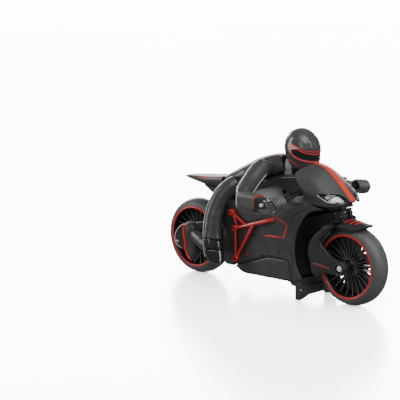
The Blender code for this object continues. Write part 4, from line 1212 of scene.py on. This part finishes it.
def visor_form():
    """Curved pane over the face opening, between the upper and the lower line."""
    grid = []
    for k in range(73):
        azimuth = -VISOR_HALF + 2 * VISOR_HALF * k / 72
        low = level_at(LOWER_LINE, abs(azimuth)) + 0.7
        high = max(level_at(UPPER_LINE[1:], abs(azimuth)) - 0.5, low + 0.4)
        grid.append([helmet_point(azimuth, low + (high - low) * j / 10, 0.2 - 0.25 * abs(j - 5) / 5)
                     for j in range(11)])
    return thick(grid, 0.9, HEAD_MIDDLE)


def both_ways(path):
    """Line round the front of the helmet, from one side to the other."""
    path = sorted(path, reverse=True)
    return path + [(-a, h) for a, h in reversed(path[:-1])]


def helmet():
    """Shell with the lines round its visor, the visor, the pale flashes and the vents."""
    shell = helmet_form()
    bore = plug((NECK.x, 0, NECK.z), (0, 0, 1), 6.2, -6, 9.6, 32)
    hollow = turned_on([(-3, 0), (-3, 9.0), (1.4, 9.6), (3.0, 8.4), (3.6, 0)],
        (NECK.x + 6, 0, NECK.z), (0, 0, 1))
    parts = [tinted(carved(shell, bore, hollow), 0)]
    for line, radius in ((UPPER_LINE[2:], 0.45), (LOWER_LINE[2:], 0.8), (BROW_LINE, 0.55)):
        parts.append(tinted(helmet_line(both_ways(line), radius), 1))
    for side in (1, -1):
        rear = [(side * a, h) for a, h in LOWER_LINE[2::-1] + UPPER_LINE[1:3]]
        parts.append(tinted(helmet_line(rear, 0.75), 2))
        chin = [(side * a, h) for a, h in CHIN_LINE]
        parts.append(tinted(helmet_line(chin, lambda t: 0.15 + 0.27 * min(1, 4 * min(t, 1 - t)), 8, 0.02), 1))
    piece("helmet_shell", joined(*parts), "head", ["helmet", "line", "wedge"], ["helmet"])
    piece("visor_pane", visor_form(), "head", "visor", ["visor"])
    wedges = []
    for side in (1, -1):
        grid = []
        for k in range(17):
            azimuth = 64 + 34 * k / 16
            high = level_at(UPPER_LINE[1:], azimuth) - 0.3
            low = min(high - 0.35, 155.8 - 2.6 * (k / 16) ** 0.8)
            grid.append([helmet_point(side * azimuth, low + (high - low) * j / 6, 0.5) for j in range(7)])
        wedges.append(thick(grid, 0.6, HEAD_MIDDLE))
    piece("helmet_wedge", joined(*wedges), "head", "wedge")
    vents = []
    for side in (1, -1):
        centre = helmet_point(side * 113, 150.2)
        look = helmet_point(side * 113, 150.2, 1.0) - centre
        vents.append(turned_on([(-0.8, 0), (-0.8, 1.6), (0.25, 1.6), (0.4, 1.3), (0.15, 1.0), (0.15, 0)],
            centre, look, 24))
        for azimuth, height in ((24, 164.0), (156, 161.0)):
            path = [helmet_point(side * (azimuth + k * 2.2), height - 0.15 * k, 0.4) for k in range(-3, 4)]
            vents.append(tube(path, lambda t: 0.25 + 0.5 * math.sin(math.pi * min(max(t, 0.02), 0.98)),
                8, 0.6, (0, 0, 1)))
    for k in (-1, 0, 1):
        path = [helmet_point(k * 9 + d, 139.6) for d in (-3, -1.5, 0, 1.5, 3)]
        vents.append(tube(path, 0.3, 8, 0.7, (0, 0, 1)))
    piece("helmet_vents", joined(*vents), "head", "dark")


def torso():
    """Back and chest with a collar, shoulder seams and shallow folds."""
    stations = [(-63, 106.5, 8, 4, 18, 2.4), (-60.5, 107.2, 11.4, 6.6, 19, 2.4),
        (-56, 108.2, 13.8, 8.4, 20, 2.4), (-44, 112, 15, 11, 28, 2.3), (-28, 119, 15.5, 12, 30, 2.3),
        (-10, 127, 18.0, 12.8, 28, 2.2), (6, 132.2, 18.3, 12.2, 22, 2.2), (17, 134.0, 15.6, 10.0, 12, 2.2),
        (26, 132.6, 12.4, 7.2, 4, 2.2), (33, 130.4, 10, 5.4, 0, 2.2), (40, 129.2, 7, 3, 0, 2.2)]
    rings = []
    for x, z, width, deep, slope, power in curve_through(stations, 9):
        a = math.radians(slope)
        centre = Vector((x, 0, z))
        up = Vector((-math.sin(a), 0, math.cos(a)))
        moved = []
        for p in oval(centre, Vector((0, 1, 0)), up, width, deep, 72, power):
            out = p - centre
            top = max(0.0, out.z)
            fold = 0.35 * noise.noise(Vector((p.x * 0.10, abs(p.y) * 0.22, p.z * 0.12)))
            spine = -0.5 * math.exp(-(p.y / 1.6) ** 2) * (1 if top > 2 and x < 10 else 0)
            waist = -0.5 * math.exp(-((x + 46) / 1.1) ** 2)
            moved.append(p + out.normalized() * (fold + spine + waist))
        rings.append(moved)
    body = skin(rings)
    room = plug((NECK.x, 0, NECK.z - 0.5), (0, 0, 1), 14.4, 0.0, 60, 64)
    front = brick((NECK.x, -30, NECK.z - 0.5), (90, 30, 190))
    seat = brick((-80, -30, 60), (-40, 30, 98.4))
    body = carved(body, room, front, seat)
    surface = tree_of(body)
    parts = [tinted(body, 0)]
    collar = [(NECK.x - 16.6 + 0.045 * y * y, y, 170) for y in range(-9, 10, 2)]
    parts.append(tinted(ribbon(surface, curve_through(collar, 3), (0, 0, -1), 1.5, 0.3, 0.4, 0.25), 1))
    for side in (-1, 1):
        seam = [(x, side * 30, z) for x, z in curve_through([(14.5, 137.5), (13.0, 131.0), (11.0, 125.0)], 8)]
        parts.append(tinted(ribbon(surface, seam, (0, -side, 0), 0.6, 0.1, 0.3), 2))
    neck = turned_on([(-4.5, 0), (-4.5, 5.6), (-0.8, 6.0), (9.0, 6.0), (9.2, 5.6), (9.2, 0)],
        (NECK.x, 0, NECK.z), (0, 0, 1), 40)
    parts.append(tinted(neck, 2))
    return joined(*parts)


def gaiter(profile):
    """Ribbed neck cloth round the neck's axis, from a profile of (height, radius)."""
    rings = []
    for height, radius in curve_through(profile, 5):
        ring = []
        for k in range(72):
            a = 2 * math.pi * k / 72
            reach = radius + 0.12 * math.sin(18 * a)
            ring.append(Vector((NECK.x + reach * math.cos(a), reach * math.sin(a), NECK.z + height)))
        rings.append(ring)
    bore = plug((NECK.x, 0, NECK.z), (0, 0, 1), 6.6, -20, 20, 40)
    form = carved(skin(rings), bore)
    for face in form.faces:
        spot = face.calc_center_median() - NECK
        azimuth = math.degrees(math.atan2(abs(spot.y), spot.x))
        face.material_index = 0 if 70 < azimuth < 150 else 1
    return form


ARM = [(0.6, -17.3, 131.4, 9.8, 9.6, 2.1), (1.0, -26.8, 126.5, 10.0, 9.7, 2.15),
    (3.9, -42.5, 117.0, 9.5, 9.2, 2.2), (7.6, -53.2, 111.3, 9.4, 9.1, 2.3),
    (13.2, -60.4, 107.6, 8.7, 8.4, 2.6), (20.5, -63.5, 105.8, 7.0, 7.0, 3.0)]
FOREARM = [(14.6, -65.4, 106.2, 7.9, 7.9, 4.8), (20, -65.5, 106.1, 8.0, 7.9, 4.8),
    (28, -65.8, 106.1, 7.9, 7.7, 4.8), (37, -66.1, 106.2, 7.6, 7.4, 4.6)]


def arm():
    """Sleeve that bends at the elbow, a squared forearm whose paler plastic is painted light, thin pale lines
    along their edges that are painted highlights, and the cuff.
    """
    def across(t):
        bent = Vector((-0.116, -0.592, 0.797))
        flat = Vector((0.0, 0.0, 1.0))
        s = min(max((t - 0.55) / 0.4, 0.0), 1.0)
        return bent.lerp(flat, s * s * (3 - 2 * s))

    def relief(t, angle):
        bend = math.exp(-((t - 0.78) / 0.12) ** 2)
        folds = 0.25 * bend * math.sin(46 * t + 0.8 * math.sin(math.radians(angle)))
        return folds + 0.2 * noise.noise(Vector((t * 9, math.cos(math.radians(angle)) * 1.4,
            math.sin(math.radians(angle)) * 1.4)))

    def crease(t, angle):
        return 0.12 * math.sin(40 * t) * math.exp(-((t - 0.1) / 0.1) ** 2)

    sleeve, grid = limb(ARM, across, 64, 9, relief, (0.2, 0.5))
    lower, lower_grid = limb(FOREARM, (0, 0, 1), 96, 8, crease, (0.1, 0.06))
    # pale line along the arm's rear outline edge: painted rim highlight
    rear = Vector((-0.64, -0.76, 0.06))
    line = [tuple(max(ring, key=lambda p: p.dot(rear))) for ring in grid[4:27:3]]
    corner = sorted((p for p in lower_grid[0] if p.y < -71.6), key=lambda p: -p.z)
    line += [tuple(p + Vector((-0.2, 0, 0))) for p in corner[::3]]
    painted_rim_highlight = tube(curve_through(line, 3), 0.5, 8)
    ahead = Vector((0.70, 0.66, 0.25))
    # pale lines along the arm's front edge and the forearm's top edge: painted highlights
    inner = tube([max(ring, key=lambda p: p.dot(ahead)) for ring in grid[8:38]], 0.3, 8)
    top = tube([(x, -71.3, z) for x, z in ((15.4, 113.25), (20, 113.3), (28, 113.2), (36, 112.9))], 0.28, 8)
    cuff, _ = limb([(x, -66.1, 106.2, half, half - 0.2, 4.6) for x, half in ((36.7, 7.5),
        (37.0, 7.75), (38.0, 7.7), (38.3, 7.4))], (0, 0, 1), 64, 5, None, (0, 0))
    return joined(tinted(sleeve, 0), tinted(lower, 3), tinted(painted_rim_highlight, 1), tinted(joined(inner, top), 1),
                  tinted(cuff, 2))


def wrist():
    """Dark inner wrist with a raised band and a shallow groove."""
    def relief(t, angle):
        return 0.3 * math.exp(-((t - 0.78) / 0.05) ** 2) - 0.2 * math.exp(-((t - 0.6) / 0.04) ** 2)

    form, _ = limb([(34, -66.4, 105.9, 6.4, 6.2, 3.4), (43, -66.4, 105.8, 6.1, 6.0, 3.2), (50, -66.3,
        106.5, 5.4, 5.5, 2.8), (56, -66.3, 107.4, 5.0, 5.0, 2.6)], (0, 0, 1), 48, 8, relief, (0, 0.2))
    return form


BAR_INNER = Vector((58.0, -22.4, 113.8))
BAR_OUTER = Vector((62.4, -71.8, 106.2))


def hand():
    """Gloved fist: five ribs round a core on the grip whose darkest plastic is painted shade between them, the
    back of the hand, a palm and a thumb.
    """
    along = (BAR_OUTER - BAR_INNER).normalized()
    middle = BAR_INNER.lerp(BAR_OUTER, 0.885)
    ahead = (Vector((1, 0, 0)) - along * along.x).normalized()
    up = along.cross(ahead)
    if up.z < 0:
        up = -up
    parts = []
    for k in range(5):
        centre = middle + along * (k - 2) * 3.45
        size = (1.48, 1.56, 1.58, 1.54, 1.42)[k]
        path = []
        for step in range(29):
            a = math.radians(138 - 276 * step / 28)
            reach = 6.1 + 0.25 * math.cos(3 * a)
            path.append(centre + (ahead * math.cos(a) + up * math.sin(a)) * reach)

        def girth(t, size=size):
            joints = sum(math.exp(-((t - j) / 0.06) ** 2) for j in (0.18, 0.46, 0.74))
            return size * (0.92 + 0.12 * joints)

        parts.append(tube(path, girth, 16))
    # the core shows only between the ribs: its darkest plastic is painted shade between the fingers
    core = turned_on([(-8.4, 0), (-8.4, 4.2), (-8, 4.6), (7.2, 4.6), (7.6, 4.2), (7.6, 0)], middle, along)
    parts.append(tinted(core, 1))
    back, _ = limb([(51, -66.3, 106.6, 5.0, 5.0, 2.6), (55, -66.3, 107.6, 6.6, 5.8, 2.8),
        (59, -66.4, 109.8, 7.3, 5.0, 2.8), (62, -66.6, 111.6, 6.9, 2.6, 2.6)], (0, 1, 0),
        48, 7, lambda t, angle: 0.15 * math.sin(angle * 0.14), (0.3, 0.7))
    palm = tube([(54.5, -66.3, 105.5), (57.2, -66.3, 104.4), (59.5, -66.4, 103.8)], 3.2, 16, 2.0, (0, 0, 1))
    thumb = tube(curve_through([(54.5, -60.5, 106.8), (57.8, -57.6, 105.2),
        (61.5, -57.2, 103.6), (65.6, -58.8, 103.8)], 6), lambda t: 2.5 - 0.5 * t, 16)
    return joined(*parts, back, palm, thumb)


def bar_parts():
    """The bar, the dark switch sleeve with its clamp and collar, and an end cap outside the fist."""
    along = (BAR_OUTER - BAR_INNER).normalized()
    bar = tube([BAR_INNER, BAR_INNER.lerp(BAR_OUTER, 0.5), BAR_OUTER], 1.9, 24)
    lift = Vector((-0.6, 0.0, 3.3))
    sleeve = turned_on([(0, 0), (0, 1.9), (0.4, 2.3), (8, 2.3), (8.4, 2.0),
        (14, 2.0), (14.4, 1.7), (19, 1.7), (19, 0)], BAR_INNER + lift, along, 28)
    clamp = turned_on([(0, 0), (0, 2.9), (0.5, 3.2), (5.0, 3.2), (5.5, 2.9), (5.5, 0)],
        BAR_INNER + along * 1.0, along, 28)
    collar = turned_on([(0, 0), (0, 2.5), (0.3, 2.8), (1.8, 2.8), (2.1, 2.5), (2.1, 0)],
        BAR_INNER + along * 32.5, along, 28)
    cap = turned_on([(0, 0), (0, 4.6), (0.6, 4.6), (1.1, 4.1), (1.1, 2.6), (0.8, 2.3), (1.2, 1.6), (1.3, 0)],
        BAR_OUTER + along * 1.6, along, 40)
    return bar, joined(sleeve, clamp, collar), cap


LEG = [(-40, -14.5, 108.6, 9.2, 9.6, 2.1), (-43.5, -21, 104, 9.8, 10, 2.1), (-48.2, -27.9, 95.8, 9.8, 9.8, 2.2),
    (-50.6, -35.3, 82.8, 9.6, 9.5, 2.3), (-50.1, -40.7, 67.9, 9.4, 9.3, 2.4), (-47.8, -43.5, 55, 9.8, 9.3, 2.6),
    (-45.4, -44.4, 44, 10.4, 9.3, 2.8), (-43.9, -44.5, 36, 10.0, 9.0, 2.9), (-43.2, -44.5, 32, 9.0, 8.2, 2.9)]
LEG_SIDES = 72
STRAP_GROOVES = (53.6, 43.6)  # heights of the grooves above and below the knee strap


def leg():
    """Thigh, knee strap and knee cup, with the shin running back to the boot."""
    lean = Vector((0.10, 0.09, 1.0))

    def level(p):
        return (p - Vector((-48, -44, 0))).dot(lean)

    thigh, grid = limb(LEG, (0.69, 0.72, 0.05), LEG_SIDES, 18, None, (0.2, 0.7))
    verts = list(thigh.verts)
    for start in range(0, len(verts), LEG_SIDES):
        ring = verts[start:start + LEG_SIDES]
        middle = sum(level(vertex.co) for vertex in ring) / LEG_SIDES
        share = min(1.0, max(0.0, (66 - middle) / 6))
        for vertex in ring:
            vertex.co.z += share * (middle - level(vertex.co)) / lean.z
    for vertex in thigh.verts:
        height = level(vertex.co)
        out = Vector((vertex.co.x + 46.5, vertex.co.y + 44, 0)).normalized()
        groove = sum(math.exp(-((height - h) / 0.6) ** 2) for h in STRAP_GROOVES)
        strap = 0.4 if 44.2 < height < 53.0 else 0.0
        cup = 0.35 * math.exp(-((height - 38) / 3.0) ** 2)
        if height < 60:
            vertex.co += out * (strap + cup - 1.5 * groove)
        else:
            x, y, z = vertex.co
            away = (vertex.co - Vector((-49, -30, z))).normalized()
            vertex.co += away * 0.45 * noise.noise(Vector((x * 0.09, y * 0.09, z * 0.16)))
    # faces in the strap grooves take the darkest plastic: painted shade in the grooves
    for face in thigh.faces:
        height = level(face.calc_center_median())
        near = min(abs(height - h) for h in STRAP_GROOVES)
        face.material_index = 3 if near < 0.55 else 2 if height < STRAP_GROOVES[0] else 0
    surface = tree_of(thigh)
    # pale line along the leg's outline edge: painted rim highlight
    rear = Vector((-0.72, -0.69, 0.0))
    painted_rim_highlight = tube([max(ring, key=lambda p: p.dot(rear)) for ring in grid[6:128]], 0.55, 8)
    shin, _ = limb([(-48, -44.5, 41.5, 7.0, 7.2, 2.3), (-58, -43.6, 45, 6.8, 7.4, 2.3),
        (-67, -42.4, 48.5, 6.4, 7.0, 2.4), (-77, -41.0, 52, 5.4, 6.2, 2.5)], (0, 1, 0), 48,
        8, lambda t, angle: 0.2 * math.sin(18 * t) * math.sin(math.radians(angle)), (0, 0.3))
    # pale ridge on the knee cup: painted highlight
    ridge = ribbon(surface, curve_through([(-34, -47.5, 42.6), (-33, -47.5, 38),
        (-33, -47.2, 33), (-34, -46.8, 29.5)], 6), (-0.8, 0.6, 0), 1.3, 0.5, 0.5, 0.3)
    return joined(thigh, shin, tinted(painted_rim_highlight, 1), tinted(ridge, 1))


def leg_trim():
    """Bright pin by the upper strap groove and a dark stud by the lower one."""
    bright = screw((-45.0, -52.2, 53.6), (0.2, -1, 0), 0.8, 1.0, False)
    dark = screw((-37.5, -50.2, 46.6), (0.75, -0.7, 0), 0.9, 1.0, False)
    return bright, dark


BOOT_Y = -40.5


def boot():
    """Boot standing on its toe: S-shaped sole behind, laced upper in front."""
    stations = [(x, BOOT_Y, z, half, deep, power) for x, z, half, deep, power in (
        (-80.6, 64.2, 3.4, 4.2, 2.4), (-81.6, 61.0, 6.6, 5.0, 2.6), (-82.0, 56.0, 7.6, 5.4, 3.0),
        (-81.4, 51.0, 7.5, 5.3, 3.0), (-80.4, 45.5, 7.4, 5.0, 3.0), (-79.6, 39.5, 7.3, 5.1, 3.0),
        (-78.8, 33.5, 7.2, 5.4, 3.0), (-77.8, 29.0, 5.6, 5.4, 2.8), (-77.0, 26.0, 3.0, 4.4, 2.4))]

    def lacing(t, angle):
        return 0.22 * math.sin(60 * t) * (1 if 0.35 < t < 0.75 else 0) * max(0, math.cos(math.radians(angle)))

    upper, _ = limb(stations, (1, 0, 0), 48, 7, lacing, (0.3, 0.4))
    path = curve_through([(-82.4, 64.6), (-87.0, 61.6), (-89.3, 56.0), (-88.6, 50.5),
        (-87.5, 45.0), (-86.8, 38.5), (-85.6, 33.0), (-82.0, 27.6), (-77.6, 24.6)], 7)
    rings = []
    count = len(path)
    for i, (x, z) in enumerate(path):
        ahead = Vector((path[min(i + 1, count - 1)][0] - path[max(i - 1, 0)][0], 0,
            path[min(i + 1, count - 1)][1] - path[max(i - 1, 0)][1])).normalized()
        out = Vector((ahead.z, 0, -ahead.x))
        if out.x > 0:
            out = -out
        share = min(1.0, 4 * min(i, count - 1 - i) / (count - 1) + 0.35)
        centre = Vector((x, BOOT_Y, z)) - out * 0.5
        rings.append(oval(centre, Vector((0, 1, 0)), out, 5.9, 1.5 * share, 24, 4.5))
    return joined(upper, tinted(skin(rings), 1))


def rider():
    helmet()
    piece("rider_torso", torso(), "bike", ["suit", "line", "dark"], ["torso"])
    low = [(-10.5, 12.4), (-7, 12.5), (-3.4, 12.4), (-0.4, 12.3)]
    high = [(-0.15, 12.3), (1.6, 12.3), (4, 12.0), (7, 11.2), (9, 10.0)]
    piece("neck_gaiter_low", gaiter(low), "bike", ["grey", "dark"])
    piece("neck_gaiter_high", gaiter(high), "head", ["grey", "dark"])
    pair("rider_arm", arm(), "bike", ["suit", "pale", "faded", "sleeve"], "arm")
    pair("rider_wrist", wrist(), "bike", "gloss", None)
    pin = lathe([(0.0, -74.3), (0.9, -74.3), (1.6, -73.9), (1.85, -73.2), (1.85, -71.6), (0.0, -71.6)],
                47.6, 105.5, 32)
    pair("wrist_stud", pin, "bike", "pale", "wrist_pin")
    pair("rider_hand", hand(), "bike", ["glove", "dark"], "hand")
    bar, sleeve, cap = bar_parts()
    pair("grip_bar", bar, "bike", "gloss", "handlebar")
    pair("grip_sleeve", sleeve, "bike", "dark", None)
    pair("bar_end", cap, "bike", "glove", None)
    pair("rider_leg", leg(), "bike", ["suit", "pale", "gloss", "dark"], "leg")
    bright, dark = leg_trim()
    pair("strap_pin", bright, "bike", "screw", None)
    pair("strap_stud", dark, "bike", "dark", None)
    pair("rider_boot", boot(), "bike", ["satin", "red"], "boot")


# ------------------------------------------------------------------ inner parts

KEPT = {
    "rear_axle": "steel", "front_axle": "steel", "fork_crown": "satin", "servo_lever": "nylon",
    "steering_link": "nylon", "steering_servo": "servo", "chassis": "satin", "drive_belt": "belt",
    "drive_motor": "steel", "motor_pulley": "nylon", "gyro_flywheel": "steel", "gyro_motor": "steel",
    "receiver_board": "board", "battery_door": "panel", "power_switch": "gloss", "battery_pack": "blue",
    "seat": "seat", "tail_bracket": "satin",
}


def kept_parts():
    for node, finish in KEPT.items():
        item = frame["nodes"][node]
        item.data.materials.clear()
        item.data.materials.append(FINISH[finish])


# ------------------------------------------------------------------ light and floor

def studio():
    """Pale floor, pale world and soft lamps; some lamps light the floor only."""
    floor_form = bmesh.new()
    bmesh.ops.create_circle(floor_form, cap_ends=True, radius=9000, segments=128)
    floor = as_object(floor_form, "floor")
    tree = Tree("floor")
    tree.feed("Base Color", tree.mix(tree.noise(1.5), (0.86, 0.86, 0.865), (0.88, 0.88, 0.885)))
    tree.feed("Roughness", tree.between(tree.noise(3.0), 0.3, 0.7, 0.19, 0.23))
    floor.data.materials.append(tree.data)
    floor.visible_diffuse = floor.visible_glossy = False
    lit = bpy.data.collections.new("floor_light")
    lit.objects.link(floor)

    world = bpy.data.worlds.new("world")
    SCENE.world = world
    world.use_nodes = True
    nodes, links = world.node_tree.nodes, world.node_tree.links
    background = nodes["Background"]
    background.inputs["Color"].default_value = (1.0, 1.0, 1.0, 1.0)
    ray = nodes.new("ShaderNodeLightPath")
    glossy, seen = nodes.new("ShaderNodeMix"), nodes.new("ShaderNodeMix")
    glossy.inputs[2].default_value, glossy.inputs[3].default_value = 0.36, 0.20
    seen.inputs[3].default_value = 14.0
    links.new(ray.outputs["Is Glossy Ray"], glossy.inputs[0])
    links.new(ray.outputs["Is Camera Ray"], seen.inputs[0])
    links.new(glossy.outputs[0], seen.inputs[2])
    links.new(seen.outputs[0], background.inputs["Strength"])

    def lamp(name, place, aim, size, radiance, floor_only=False):
        data = bpy.data.lights.new(name, 'AREA')
        data.shape = 'RECTANGLE'
        data.size, data.size_y = size
        data.energy = radiance * math.pi * size[0] * size[1]
        item = bpy.data.objects.new(name, data)
        item.location = place
        item.rotation_euler = (Vector(aim) - Vector(place)).to_track_quat('-Z', 'Y').to_euler()
        SCENE.collection.objects.link(item)
        item.visible_camera = False
        if floor_only:
            item.light_linking.receiver_collection = lit

    lamp("top_softbox", (0.62, -0.28, 1.15), (0.0, 0.0, 0.05), (0.9, 0.8), 3.8)
    lamp("front_softbox", (1.2, 0.10, 0.8), (0.05, 0.0, 0.08), (0.4, 0.9), 8.0)
    lamp("camera_strip", (0.55, -1.35, 0.75), (0.0, 0.0, 0.08), (0.22, 0.7), 5.0)
    lamp("rear_strip", (-1.15, -0.80, 0.55), (-0.05, 0.0, 0.08), (0.30, 1.0), 10.0)
    lamp("back_strip", (-0.95, 0.95, 0.42), (-0.05, 0.0, 0.1), (1.4, 0.35), 8.0)
    lamp("floor_fill", (0, 0, 3), (0, 0, 0), (6, 6), 4.0, True)
    for k in range(6):
        a = math.radians(134 + 60 * k)
        lamp(f"floor_wall_{k}", (6 * math.cos(a), 6 * math.sin(a), 1.6), (0, 0, 1.6), (7.2, 3.2), 22.0, True)


camera()
wheels()
front_end()
bodywork()
rider()
kept_parts()
studio()
